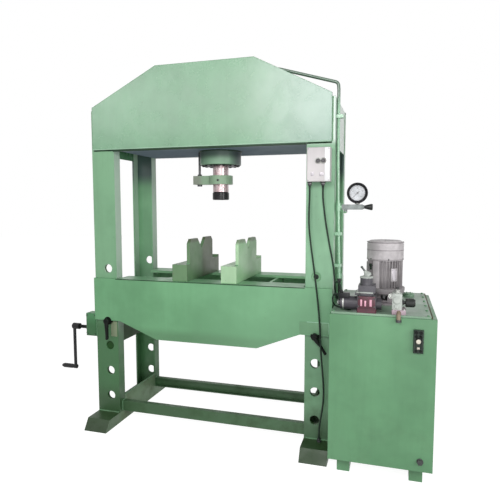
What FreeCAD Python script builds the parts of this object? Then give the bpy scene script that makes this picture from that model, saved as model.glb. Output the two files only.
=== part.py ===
import FreeCAD, Part
import math
import os
import re

import Sketcher

# Hydraulic press: a welded frame of four channel columns, a crosshead with the cylinder, a table that
# hangs on two locking pins and is raised by a hand winch, and a power pack beside the right columns.
# The sketches are drawn about the press's own axes: x = 0 midway between the columns, y = 0 at their
# front faces, z = 0 on the floor. centre_x and centre_y then move every sub-part, so that the model's
# origin lies on the floor under the middle of the whole machine. All sizes are in millimetres.

SIZES = [
    # columns: four channels, webs to the front and to the rear
    ("column_outer", "685"),
    ("column_width", "140"),
    ("column_flange", "60"),
    ("column_top", "1800"),
    ("web", "8"),
    ("flange", "10"),
    ("frame_depth", "500"),
    ("pin_hole", "50"),
    ("pin_hole_x", "600"),
    ("pin_hole_first", "160"),
    ("pin_hole_pitch", "150"),
    ("pin_hole_count", "6"),
    ("pin_row", "3"),
    # floor rails, side plates and stretchers
    ("foot_rise", "60"),
    ("foot_front", "150"),
    ("foot_back", "150"),
    ("foot_slope", "40"),
    ("tie_height", "90"),
    ("foot_gland", "22"),
    ("foot_gland_x", "630"),
    ("stretcher_rise", "60"),
    ("stretcher_depth", "30"),
    ("stretcher_lift", "2"),
    ("stretcher_wall", "6"),
    # crosshead
    ("head_plate", "16"),
    ("head_bottom", "1580"),
    ("head_half", "670"),
    ("head_shoulder", "1815"),
    ("head_top", "2015"),
    ("head_top_half", "275"),
    ("head_floor", "20"),
    ("head_rib", "15"),
    ("head_rib_gap", "25"),
    ("head_rib_drop", "75"),
    ("end_plate_drop", "20"),
    # cylinder and ram
    ("barrel", "236"),
    ("barrel_inside", "176"),
    ("barrel_bottom", "1500"),
    ("barrel_top", "1900"),
    ("barrel_end", "30"),
    ("cap_height", "30"),
    ("port_height", "30"),
    ("port", "56"),
    ("cap_bolt", "24"),
    ("cap_bolt_count", "8"),
    ("ram_size", "90"),
    ("piston_height", "60"),
    ("ram_stroke_down", "150"),
    ("ram_stroke_up", "50"),
    ("ram_reserve", "20"),
    ("rod_reserve", "40"),
    ("arm_top", "1442"),
    ("arm_height", "50"),
    ("arm_reach", "158"),
    ("arm_width", "70"),
    ("arm_collar", "140"),
    ("nose_top", "1349"),
    ("nose_height", "46"),
    ("nose_size", "96"),
    ("guide_rod", "14"),
    ("guide_rod_x", "131"),
    # table
    ("table_gap", "1"),
    ("table_plate", "16"),
    ("table_top", "855"),
    ("table_bottom", "520"),
    ("table_bottom_half", "292"),
    ("table_taper_x", "522"),
    ("table_end_lift", "2.7"),
    ("table_flange", "15"),
    ("table_flange_reach", "115"),
    ("table_side_gap", "10"),
    ("cross_member_x", "300"),
    ("cross_member", "16"),
    # V-blocks
    ("v_base_width", "88"),
    ("v_base_rise", "92"),
    ("v_base_wall", "14"),
    ("v_base_end", "12"),
    ("v_left_x", "152"),
    ("v_right_x", "132"),
    ("v_plate", "18"),
    ("v_plate_rise", "138"),
    ("v_plate_front", "40"),
    ("v_plate_length", "350"),
    ("v_plate_corner", "24"),
    ("v_notch_depth", "62"),
    ("v_notch_half", "60"),
    ("v_stop_rise", "14"),
    ("v_stop", "16"),
    # locking pins
    ("locking_pin", "46"),
    ("pin_nose", "34"),
    ("pin_front", "40"),
    ("pin_rear", "24"),
    ("pin_handle", "14"),
    ("pin_handle_length", "104"),
    ("seat_gap", "0.3"),
    # winch
    ("winch_width", "71"),
    ("winch_bottom", "507"),
    ("winch_top", "641"),
    ("winch_wall", "8"),
    ("shaft_z", "550"),
    ("shaft_y", "30"),
    ("shaft", "20"),
    ("drum", "42"),
    ("drum_length", "36"),
    ("drum_groove", "5"),
    ("carrier_bottom", "472"),
    ("carrier_top", "575"),
    ("carrier_flange", "40"),
    ("carrier_guard_bottom", "405"),
    ("crank_reach", "105"),
    ("crank_arm", "250"),
    ("crank_bar", "18"),
    ("crank_hub", "36"),
    ("crank_hub_length", "39"),
    ("crank_eye", "25"),
    ("grip_length", "92"),
    ("grip", "26"),
    ("grip_pin", "12"),
    # control box
    ("box_left", "557"),
    ("box_width", "113"),
    ("box_bottom", "1385"),
    ("box_height", "165"),
    ("box_depth", "54"),
    ("box_cover", "6"),
    ("box_wall", "3"),
    ("button", "20"),
    ("button_rise", "9"),
    ("button_left_x", "612"),
    ("button_right_x", "637"),
    ("button_z", "1485"),
    ("gland", "16"),
    ("gland_length", "16"),
    ("fit_gap", "0.3"),
    # pressure gauge
    ("gauge", "102"),
    ("gauge_depth", "40"),
    ("gauge_x", "794"),
    ("gauge_z", "1331"),
    ("gauge_rim", "5"),
    ("gauge_recess", "16"),
    ("gauge_glass", "2"),
    ("gauge_stem", "14"),
    ("tee_z", "1262"),
    ("tee", "28"),
    ("tee_height", "40"),
    ("tee_block", "26"),
    ("isolator", "45"),
    ("isolator_length", "40"),
    ("isolator_neck", "8"),
    ("gauge_block_start", "24"),
    ("gauge_block", "101"),
    ("test_port", "16"),
    ("test_port_x", "18"),
    ("test_port_length", "14"),
    # pressure pipe
    ("pipe", "16"),
    ("pipe_y", "50"),
    ("pipe_gap", "9"),
    ("pipe_riser", "32"),
    ("pipe_end", "123"),
    ("pipe_end_run", "19"),
    ("union_nut", "27"),
    ("union_nut_height", "24"),
    ("nut_overhang", "1"),
    ("clamp", "34"),
    ("clamp_depth", "16"),
    ("clamp_high", "1700"),
    ("clamp_middle", "1120"),
    ("clamp_low", "960"),
    # tank
    ("tank_gap", "10"),
    ("tank_width", "470"),
    ("tank_front", "200"),
    ("tank_depth", "640"),
    ("tank_bottom", "70"),
    ("tank_top", "770"),
    ("tank_wall", "4"),
    ("tank_rim", "32"),
    ("tank_rim_thickness", "6"),
    ("skid", "60"),
    ("skid_inset", "40"),
    ("lid", "10"),
    ("lid_inset", "10"),
    ("lid_right_inset", "25"),
    ("filler", "60"),
    ("filler_height", "14"),
    ("level_x", "393"),
    ("level_width", "43"),
    ("level_bottom", "618"),
    ("level_height", "105"),
    ("level_depth", "14"),
    # motor, bellhousing and pump
    ("motor_x", "237"),
    ("motor_y", "100"),
    ("bell_height", "68"),
    ("bell", "140"),
    ("bell_inside", "70"),
    ("motor_flange", "196"),
    ("motor_flange_height", "14"),
    ("motor_core", "148"),
    ("motor_height", "152"),
    ("fin_rise", "12"),
    ("fin", "3"),
    ("fin_count", "36"),
    ("cowl", "178"),
    ("cowl_height", "96"),
    ("cowl_wall", "2"),
    ("cowl_slot", "6"),
    ("cowl_slot_count", "18"),
    ("rotor_shaft", "24"),
    ("fan", "150"),
    ("fan_blade_height", "34"),
    ("fan_blade", "3"),
    ("fan_blade_count", "7"),
    ("coupling", "50"),
    ("terminal_width", "92"),
    ("terminal_depth", "46"),
    ("terminal_height", "80"),
    ("terminal_lift", "34"),
    ("terminal_gland_inset", "11"),
    ("terminal_turn", "25"),
    ("pump_size", "110"),
    ("pump_height", "130"),
    # valves
    ("valve_x", "123"),
    ("valve_width", "85"),
    ("valve_front", "190"),
    ("valve_depth", "120"),
    ("manifold_rise", "20"),
    ("solenoid_rise", "57"),
    ("coil", "62"),
    ("coil_length", "77"),
    ("coil_lift", "8"),
    ("coil_cap", "23"),
    ("hose_nipple", "20"),
    ("hose_nipple_length", "12"),
    ("hose_y", "112"),
    ("hose_rise", "38"),
    ("lever_plate_rise", "22"),
    ("lever_base_rise", "23"),
    ("lever_drum", "57"),
    ("lever_drum_rise", "36"),
    ("lever_length", "88"),
    ("lever", "10"),
    ("lever_ball", "9"),
    ("relief_x", "276"),
    ("relief_base_width", "61"),
    ("relief_base_rise", "22"),
    ("relief_width", "44"),
    ("relief_rise", "95"),
    ("relief_depth", "70"),
    ("relief_knob", "40"),
    ("relief_knob_length", "57"),
    ("relief_knob_z", "52"),
    ("relief_stem", "14"),
    ("drain_pipe", "22"),
    # cables and hose
    ("cable", "9"),
    ("hose", "11"),
    # worked out from the sizes above
    ("column_inner", "=column_outer - column_width"),
    ("ram_y", "=frame_depth / 2"),
    ("pin_z", "=pin_hole_first + pin_row * pin_hole_pitch - (pin_hole - locking_pin) / 2 + seat_gap"),
    ("table_end", "=pin_z + table_end_lift"),
    ("piston_bottom", "=barrel_bottom + barrel_end + ram_stroke_down + ram_reserve"),
    ("tank_left", "=column_outer + tank_gap"),
    ("lid_top", "=tank_top + lid"),
    ("motor_base", "=lid_top + bell_height"),
    ("crank_x", "=column_outer + winch_width + crank_reach"),
    ("centre_x", "=(tank_left + tank_width - crank_x - grip_length) / 2"),
    ("centre_y", "=(frame_depth + foot_back - tank_front - drain_pipe) / 2"),
]

os.makedirs("parts", exist_ok=True)
doc = FreeCAD.newDocument("HydraulicPress")
sheet = doc.addObject("Spreadsheet::Sheet", "Sizes")
for row, (alias, text) in enumerate(SIZES, start=1):
    sheet.set(f"A{row}", alias)
    sheet.set(f"B{row}", text)
    sheet.setAlias(f"B{row}", alias)
doc.recompute()

# A sketch plane's role, and whether its normal points along the positive axis.
PLANES = {"XY": ("XY_Plane", True), "XZ": ("XZ_Plane", False), "YZ": ("YZ_Plane", True)}
UP = FreeCAD.Rotation()
TO_FRONT = FreeCAD.Rotation(FreeCAD.Vector(1, 0, 0), 90)
TO_RIGHT = FreeCAD.Rotation(FreeCAD.Vector(0, 1, 0), 90)
TO_LEFT = FreeCAD.Rotation(FreeCAD.Vector(0, 1, 0), -90)
sub_parts = []


# ---------------------------------------------------------------- helpers
def bind(text):
    """An expression whose plain words are the sheet's sizes."""
    return re.sub(r"\b([a-z]\w*)\b(?!\()", r"Sizes.\1", str(text))


def value(text):
    """The present value of such an expression."""
    return float(sheet.evalExpression(bind(text)))


def place(item, x="0", y="0", z="0", rotation=UP):
    """Puts a finished sub-part at a point of the press and lists it for the checks and the export."""
    item.Placement = FreeCAD.Placement(FreeCAD.Vector(), rotation)
    item.setExpression("Placement.Base.x", bind(f"{x} - centre_x"))
    item.setExpression("Placement.Base.y", bind(f"{y} - centre_y"))
    item.setExpression("Placement.Base.z", bind(z))
    sub_parts.append(item)
    return item


def new_body(label):
    body = doc.addObject("PartDesign::Body", label)
    body.Label = label
    return body


def new_sketch(body, plane, offset):
    role, positive = PLANES[plane]
    sketch = body.newObject("Sketcher::SketchObject", f"{body.Name}_sketch")
    origin_plane = next(item for item in body.Origin.OriginFeatures if item.Role == role)
    sketch.AttachmentSupport = [(origin_plane, "")]
    sketch.MapMode = "FlatFace"
    sign = "" if positive else "-"
    sketch.setExpression("AttachmentOffset.Base.z", bind(f"{sign}1 * ({offset})"))
    return sketch


def pin_point(sketch, geometry, point, x, y):
    """Holds one point of a sketch at the two expressions x and y."""
    for kind, text in (("DistanceX", x), ("DistanceY", y)):
        constraint = sketch.addConstraint(
            Sketcher.Constraint(kind, -1, 1, geometry, point, value(text)))
        sketch.setExpression(f"Constraints[{constraint}]", bind(text))


def draw_outline(sketch, corners):
    """A closed outline of straight lines through the corners."""
    points = [FreeCAD.Vector(value(x), value(y), 0) for x, y in corners]
    first = sketch.GeometryCount
    count = len(points)
    for index in range(count):
        sketch.addGeometry(Part.LineSegment(points[index], points[(index + 1) % count]), False)
    for index in range(count):
        following = first + (index + 1) % count
        sketch.addConstraint(Sketcher.Constraint("Coincident", first + index, 2, following, 1))
    for index, (x, y) in enumerate(corners):
        pin_point(sketch, first + index, 1, x, y)


def draw_circle(sketch, x, y, radius):
    centre = FreeCAD.Vector(value(x), value(y), 0)
    circle = sketch.addGeometry(Part.Circle(centre, FreeCAD.Vector(0, 0, 1), value(radius)), False)
    pin_point(sketch, circle, 3, x, y)
    constraint = sketch.addConstraint(Sketcher.Constraint("Radius", circle, value(radius)))
    sketch.setExpression(f"Constraints[{constraint}]", bind(radius))


def draw(sketch, shape):
    """A circle is given as (x, y, radius), an outline as a list of corners."""
    if isinstance(shape, tuple):
        draw_circle(sketch, *shape)
    else:
        draw_outline(sketch, shape)


def add(body, plane, shape, start, length):
    """Pads a shape from start along the plane's positive axis."""
    sketch = new_sketch(body, plane, start)
    draw(sketch, shape)
    feature = body.newObject("PartDesign::Pad", f"{body.Name}_pad")
    feature.Profile = sketch
    feature.setExpression("Length", bind(length))
    feature.Reversed = not PLANES[plane][1]
    return feature


def cut(body, plane, shape, start, length):
    """Pockets a shape from start along the plane's positive axis, and makes sure that it cuts."""
    doc.recompute()
    before = body.Tip.Shape.Volume
    sketch = new_sketch(body, plane, start)
    draw(sketch, shape)
    feature = body.newObject("PartDesign::Pocket", f"{body.Name}_pocket")
    feature.Profile = sketch
    feature.setExpression("Length", bind(length))
    feature.Reversed = PLANES[plane][1]
    doc.recompute()
    if feature.Shape.Volume > before - 1e-3:
        raise ValueError(f"{body.Label}: a pocket cuts nothing")
    return feature


def turn(body, profile, groove=False):
    """Revolves a profile of (radius, height) corners about the body's own z axis."""
    sketch = new_sketch(body, "XZ", "0")
    draw_outline(sketch, profile)
    kind = "PartDesign::Groove" if groove else "PartDesign::Revolution"
    feature = body.newObject(kind, f"{body.Name}_turn")
    feature.Profile = sketch
    feature.ReferenceAxis = (sketch, ["V_Axis"])
    feature.Angle = 360
    return feature


def around(body, feature, count):
    """Repeats a feature round the body's own z axis."""
    doc.recompute()
    pattern = body.newObject("PartDesign::PolarPattern", f"{body.Name}_round")
    pattern.Originals = [feature]
    axis = next(item for item in body.Origin.OriginFeatures if item.Role == "Z_Axis")
    pattern.Axis = (axis, [""])
    pattern.Angle = 360
    pattern.setExpression("Occurrences", bind(count))
    body.Tip = pattern
    return pattern


def bevel(body, size, chosen):
    """Chamfers the edges of the body for which chosen(edge) is true."""
    doc.recompute()
    base = body.Tip
    names = [f"Edge{index}" for index, edge in enumerate(base.Shape.Edges, start=1) if chosen(edge)]
    feature = body.newObject("PartDesign::Chamfer", f"{body.Name}_bevel")
    feature.Base = (base, names)
    feature.setExpression("Size", bind(size))
    return feature


def rectangle(left, right, low, high):
    return [(left, low), (right, low), (right, high), (left, high)]


def is_upright(edge):
    start, end = edge.firstVertex().Point, edge.lastVertex().Point
    return abs(start.x - end.x) < 1e-6 and abs(start.y - end.y) < 1e-6 and abs(start.z - end.z) > 1


def round_path(points, share=0.45, largest=None):
    """Straight runs joined by tangent arcs, each as large as its two runs allow."""
    points = [FreeCAD.Vector(*point) for point in points]
    edges = []
    radii = []
    here = points[0]
    for before, corner, after in zip(points, points[1:], points[2:]):
        back = before - corner
        ahead = after - corner
        half_turn = (math.pi - back.getAngle(ahead)) / 2
        reach = share * min(back.Length, ahead.Length)
        radius = reach / math.tan(half_turn)
        if largest and radius > largest:
            radius = largest
            reach = radius * math.tan(half_turn)
        back.normalize()
        ahead.normalize()
        start = corner + back * reach
        end = corner + ahead * reach
        bisector = back + ahead
        bisector.normalize()
        middle = corner + bisector * (radius / math.cos(half_turn) - radius)
        edges.append(Part.LineSegment(here, start).toShape())
        edges.append(Part.Arc(start, middle, end).toShape())
        radii.append(radius)
        here = end
    edges.append(Part.LineSegment(here, points[-1]).toShape())
    return Part.Wire(edges), radii


def sweep_tube(points, diameter, **limits):
    """A round bar along the path; its volume is compared with section times length."""
    path, radii = round_path(points, **limits)
    start = path.Edges[0].firstVertex().Point
    section = Part.Wire(Part.makeCircle(diameter / 2, start, path.Edges[0].tangentAt(0)))
    tube = path.makePipeShell([section], True, False)
    expected = math.pi * diameter ** 2 / 4 * path.Length
    if abs(tube.Volume - expected) > 0.01 * expected:
        raise ValueError(f"tube volume {tube.Volume:.0f} is not {expected:.0f}")
    return tube, radii, path.Length


def make_cord(label, points, size):
    """A cable or hose along a route chosen by hand, in press coordinates."""
    diameter = value(size)
    tube, radii, length = sweep_tube(points, diameter)
    item = doc.addObject("Part::Feature", label)
    item.Label = label
    item.Shape = tube
    print(f"{label}: length {length:.0f}, least radius {min(radii):.0f}, diameter {diameter:.0f}")
    return place(item)


# ---------------------------------------------------------------- frame
def make_column(row, side, word):
    """A channel column; the front ones have their web to the front, the rear ones to the rear."""
    outer = f"{side} * column_outer"
    inner = f"{side} * column_inner"
    outer_lip = f"{side} * (column_outer - flange)"
    inner_lip = f"{side} * (column_inner + flange)"
    if row == "front":
        face, back, tip = "0", "web", "column_flange"
    else:
        face, back, tip = "frame_depth", "frame_depth - web", "frame_depth - column_flange"
    body = new_body(f"leg_{row}_{word}")
    add(body, "XY", [(outer, face), (inner, face), (inner, tip), (inner_lip, tip),
                     (inner_lip, back), (outer_lip, back), (outer_lip, tip), (outer, tip)],
        "foot_rise", "column_top - foot_rise")
    web_start = "0 - 1" if row == "front" else "frame_depth - web - 1"
    hole = cut(body, "XZ", (f"{side} * pin_hole_x", "pin_hole_first", "pin_hole / 2"),
               web_start, "web + 2")
    holes = body.newObject("PartDesign::LinearPattern", f"{body.Name}_holes")
    holes.Originals = [hole]
    holes.Direction = (hole.Profile[0], ["V_Axis"])
    holes.setExpression("Length", bind("pin_hole_pitch * (pin_hole_count - 1)"))
    holes.setExpression("Occurrences", bind("pin_hole_count"))
    body.Tip = holes
    if (row, word) == ("front", "left"):
        cut(body, "YZ", ("shaft_y", "shaft_z", "shaft / 2 + fit_gap"), "-1 * column_outer", "flange")
    place(body)


def make_foot(side, word):
    """A floor rail of channel, web up, both noses sloped and closed, with the low side plate on it."""
    low = f"{side} * column_outer" if side < 0 else f"{side} * column_inner"
    body = new_body(f"foot_{word}")
    rear = "frame_depth + foot_back"
    add(body, "YZ", [("-1 * foot_front", "0"), (rear, "0"), (f"{rear} - foot_slope", "foot_rise"),
                     ("foot_slope - foot_front", "foot_rise")], low, "column_width")
    slope = "foot_slope * (foot_rise - web) / foot_rise"
    cut(body, "YZ", [("flange - foot_front", "0"), (f"{rear} - flange", "0"),
                     (f"{rear} - flange - {slope}", "foot_rise - web"),
                     (f"flange - foot_front + {slope}", "foot_rise - web")],
        f"{low} + flange", "column_width - 2 * flange")
    if side > 0:
        add(body, "XY", ("foot_gland_x", "-1 * box_depth / 2 - cable", "gland / 2"), "foot_rise", "foot_gland")
    plate_low = f"{side} * (column_inner + flange)" if side < 0 else "column_inner"
    add(body, "YZ", rectangle("column_flange", "frame_depth - column_flange", "foot_rise",
                              "foot_rise + tie_height"), plate_low, "flange")
    place(body)


def make_stretcher(row):
    """A channel between the columns, web to the outside."""
    body = new_body(f"stretcher_{row}")
    low = "foot_rise + stretcher_lift"
    if row == "front":
        face, tip, back = "column_flange - stretcher_depth", "column_flange", "stretcher_wall"
    else:
        face, tip, back = ("frame_depth - column_flange + stretcher_depth",
                           "frame_depth - column_flange", "-1 * stretcher_wall")
    add(body, "YZ", [(face, low), (tip, low), (tip, f"{low} + stretcher_wall"),
                     (f"{face} + {back}", f"{low} + stretcher_wall"),
                     (f"{face} + {back}", f"{low} + stretcher_rise - stretcher_wall"),
                     (tip, f"{low} + stretcher_rise - stretcher_wall"),
                     (tip, f"{low} + stretcher_rise"), (face, f"{low} + stretcher_rise")],
        "-1 * column_inner", "2 * column_inner")
    place(body)


def make_crosshead():
    for row, start in (("front", "-1 * head_plate"), ("rear", "frame_depth")):
        body = new_body(f"crosshead_{row}_plate")
        add(body, "XZ", [("-1 * head_half", "head_bottom"), ("head_half", "head_bottom"),
                         ("head_half", "head_shoulder"), ("head_top_half", "head_top"),
                         ("-1 * head_top_half", "head_top"), ("-1 * head_half", "head_shoulder")],
            start, "head_plate")
        place(body)
    body = new_body("crosshead_floor")
    add(body, "XY", rectangle("-1 * column_inner", "column_inner", "0", "frame_depth"),
        "head_bottom", "head_floor")
    rib_face = "barrel / 2 + head_rib_gap"
    for low in (f"-1 * ({rib_face}) - head_rib", rib_face):
        add(body, "YZ", rectangle("0", "frame_depth", "head_bottom + head_floor",
                                  "head_top - head_rib_drop"), low, "head_rib")
    cut(body, "XY", ("0", "ram_y", "barrel / 2"), "head_bottom", "head_floor")
    cut(body, "XY", ("-1 * guide_rod_x", "ram_y", "guide_rod / 2 + fit_gap"), "head_bottom", "head_floor")
    place(body)
    for side, word in ((-1, "left"), (1, "right")):
        body = new_body(f"crosshead_end_plate_{word}")
        low = "-1 * column_outer" if side < 0 else "column_outer - flange"
        add(body, "YZ", rectangle("column_flange", "frame_depth - column_flange",
                                  "head_bottom - end_plate_drop", "column_top"), low, "flange")
        place(body)


# ---------------------------------------------------------------- cylinder and ram
def make_cylinder():
    bore = "barrel_inside / 2"
    gland = "ram_size / 2 + fit_gap"
    body = new_body("cylinder_barrel")
    turn(body, [(gland, "barrel_bottom"), ("barrel / 2 - 4", "barrel_bottom"),
                ("barrel / 2", "barrel_bottom + 4"), ("barrel / 2", "barrel_top"),
                (bore, "barrel_top"), (bore, "barrel_bottom + barrel_end"),
                (gland, "barrel_bottom + barrel_end")])
    place(body, y="ram_y")

    body = new_body("cylinder_cap")
    cap_top = "barrel_top + cap_height"
    turn(body, [("0", "barrel_top"), ("barrel / 2", "barrel_top"), ("barrel / 2", cap_top),
                ("port / 2", cap_top), ("port / 2", f"{cap_top} + port_height"),
                ("0", f"{cap_top} + port_height")])
    bolt = add(body, "XY", ("barrel / 2 - cap_bolt", "0", "cap_bolt / 2"), cap_top, "cap_bolt / 2")
    around(body, bolt, "cap_bolt_count")
    place(body, y="ram_y")


def make_ram():
    radius = "ram_size / 2"
    piston = "barrel_inside / 2 - fit_gap"
    body = new_body("ram")
    turn(body, [("0", "nose_top"), (radius, "nose_top"), (radius, "piston_bottom"),
                (piston, "piston_bottom"), (piston, "piston_bottom + piston_height"),
                ("0", "piston_bottom + piston_height")])
    place(body, y="ram_y")

    body = new_body("ram_nose")
    turn(body, [("0", "nose_top - nose_height"), ("nose_size / 2 - 4", "nose_top - nose_height"),
                ("nose_size / 2", "nose_top - nose_height + 4"), ("nose_size / 2", "nose_top - 6"),
                ("nose_size / 2 - 3", "nose_top - 4"), ("nose_size / 2 - 3", "nose_top"),
                ("0", "nose_top")])
    place(body, y="ram_y")

    body = new_body("ram_arm")
    arm_bottom = "arm_top - arm_height"
    add(body, "XY", ("0", "0", "arm_collar / 2"), arm_bottom, "arm_height")
    add(body, "XY", rectangle("-1 * arm_reach", "0", "-1 * arm_width / 2", "arm_width / 2"),
        arm_bottom, "arm_height")
    cut(body, "XY", ("0", "0", "ram_size / 2"), arm_bottom, "arm_height")
    cut(body, "XY", ("-1 * guide_rod_x", "0", "guide_rod / 2"), arm_bottom, "arm_height")
    place(body, y="ram_y")

    body = new_body("ram_guide_rod")
    rod = "guide_rod / 2"
    rod_top = "head_bottom + head_floor + ram_stroke_down + rod_reserve"
    turn(body, [("0", f"{arm_bottom} - 10"), ("guide_rod", f"{arm_bottom} - 10"),
                ("guide_rod", arm_bottom), (rod, arm_bottom), (rod, f"{rod_top} - 4"),
                (f"{rod} - 3", rod_top), ("0", rod_top)])
    place(body, x="-1 * guide_rod_x", y="ram_y")


# ---------------------------------------------------------------- table
def make_table_beam(row):
    """A beam outside the columns: deep in the middle, half-round saddles over the locking pins."""
    start = "-1 * (table_plate + table_gap)" if row == "front" else "frame_depth + table_gap"
    inner_face = "-1 * table_gap" if row == "front" else "frame_depth + table_gap"
    reach = "table_flange_reach" if row == "front" else "-1 * table_flange_reach"
    body = new_body(f"table_{row}_beam")
    add(body, "XZ", [("-1 * table_bottom_half", "table_bottom"), ("table_bottom_half", "table_bottom"),
                     ("table_taper_x", "table_end"), ("column_outer", "table_end"),
                     ("column_outer", "table_top"), ("-1 * column_outer", "table_top"),
                     ("-1 * column_outer", "table_end"), ("-1 * table_taper_x", "table_end")],
        start, "table_plate")
    for side in (-1, 1):
        cut(body, "XZ", (f"{side} * pin_hole_x", "pin_z", "locking_pin / 2 + seat_gap"),
            start, "table_plate")
    for half, low in (("column_inner - table_side_gap", "table_top - table_flange"),
                      ("table_bottom_half", "table_bottom")):
        near, far = (inner_face, f"{inner_face} + {reach}")
        if row == "rear":
            near, far = far, near
        add(body, "XY", rectangle(f"-1 * ({half})", half, near, far), low, "table_flange")
    place(body)


def make_cross_member(side, word):
    """A plate that ties the two beams together between their flanges."""
    body = new_body(f"table_cross_member_{word}")
    low = "cross_member_x" if side > 0 else "-1 * (cross_member_x + cross_member)"
    add(body, "YZ", rectangle("-1 * table_gap", "frame_depth + table_gap",
                              "table_end", "table_top - table_flange"),
        low, "cross_member")
    cut(body, "YZ", ("ram_y", "(table_end + table_top - table_flange) / 2", "70"),
        low, "cross_member")
    place(body)


def make_v_block(side, word):
    """A capped channel laid across the beams, with a notched plate along it and a stop at its rear end."""
    body = new_body(f"v_block_{word}")
    middle = "-1 * v_left_x" if side < 0 else "v_right_x"
    left, right = f"{middle} - v_base_width / 2", f"{middle} + v_base_width / 2"
    top = "table_top + v_base_rise"
    add(body, "XZ", rectangle(left, right, "table_top", top), "0", "frame_depth")
    cut(body, "XZ", rectangle(f"{left} + v_base_wall", f"{right} - v_base_wall",
                              "table_top", f"{top} - v_base_wall"),
        "v_base_end", "frame_depth - 2 * v_base_end")
    add(body, "XZ", rectangle(left, right, "table_top", f"{top} + v_stop_rise"),
        "frame_depth - v_stop", "v_stop")
    ridge = f"{top} + v_plate_rise"
    front, back = "v_plate_front", "v_plate_front + v_plate_length"
    notch = "v_plate_front + v_plate_length / 2"
    add(body, "YZ", [(front, top), (back, top), (back, f"{ridge} - v_plate_corner"),
                     (f"{back} - v_plate_corner", ridge), (f"{notch} + v_notch_half", ridge),
                     (notch, f"{ridge} - v_notch_depth"), (f"{notch} - v_notch_half", ridge),
                     (f"{front} + v_plate_corner", ridge), (front, f"{ridge} - v_plate_corner")],
        f"{right} - v_plate", "v_plate")
    place(body)


def make_locking_pin(side, word, handle_angle):
    """A round bar through both columns, with a thinner nose in front and a handle square to it."""
    body = new_body(f"locking_pin_{word}")
    radius = "locking_pin / 2"
    nose = "pin_nose / 2"
    shoulder = "0 - table_plate - table_gap"
    tail = "frame_depth + pin_rear"
    turn(body, [("0", "0 - pin_front"), (f"{nose} - 3", "0 - pin_front"), (nose, "3 - pin_front"),
                (nose, shoulder), (radius, shoulder), (radius, f"{tail} - 6"), (f"{radius} - 6", tail),
                ("0", tail)])
    # The handle leaves the bar's side square to it, along the body's own -y before the body is turned.
    sketch = new_sketch(body, "XZ", "0")
    draw_circle(sketch, "0", "pin_handle - pin_front", "pin_handle / 2")
    handle = body.newObject("PartDesign::Pad", f"{body.Name}_handle")
    handle.Profile = sketch
    handle.setExpression("Length", bind("pin_handle_length"))
    # The bar lies along +y; handle_angle swings the handle away from hanging straight down.
    lie_down = FreeCAD.Rotation(FreeCAD.Vector(1, 0, 0), -90)
    swing = FreeCAD.Rotation(FreeCAD.Vector(0, 1, 0), handle_angle)
    flip = FreeCAD.Rotation(FreeCAD.Vector(0, 1, 0), 180)
    place(body, x=f"{side} * pin_hole_x", z="pin_z", rotation=swing * flip * lie_down)


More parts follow.
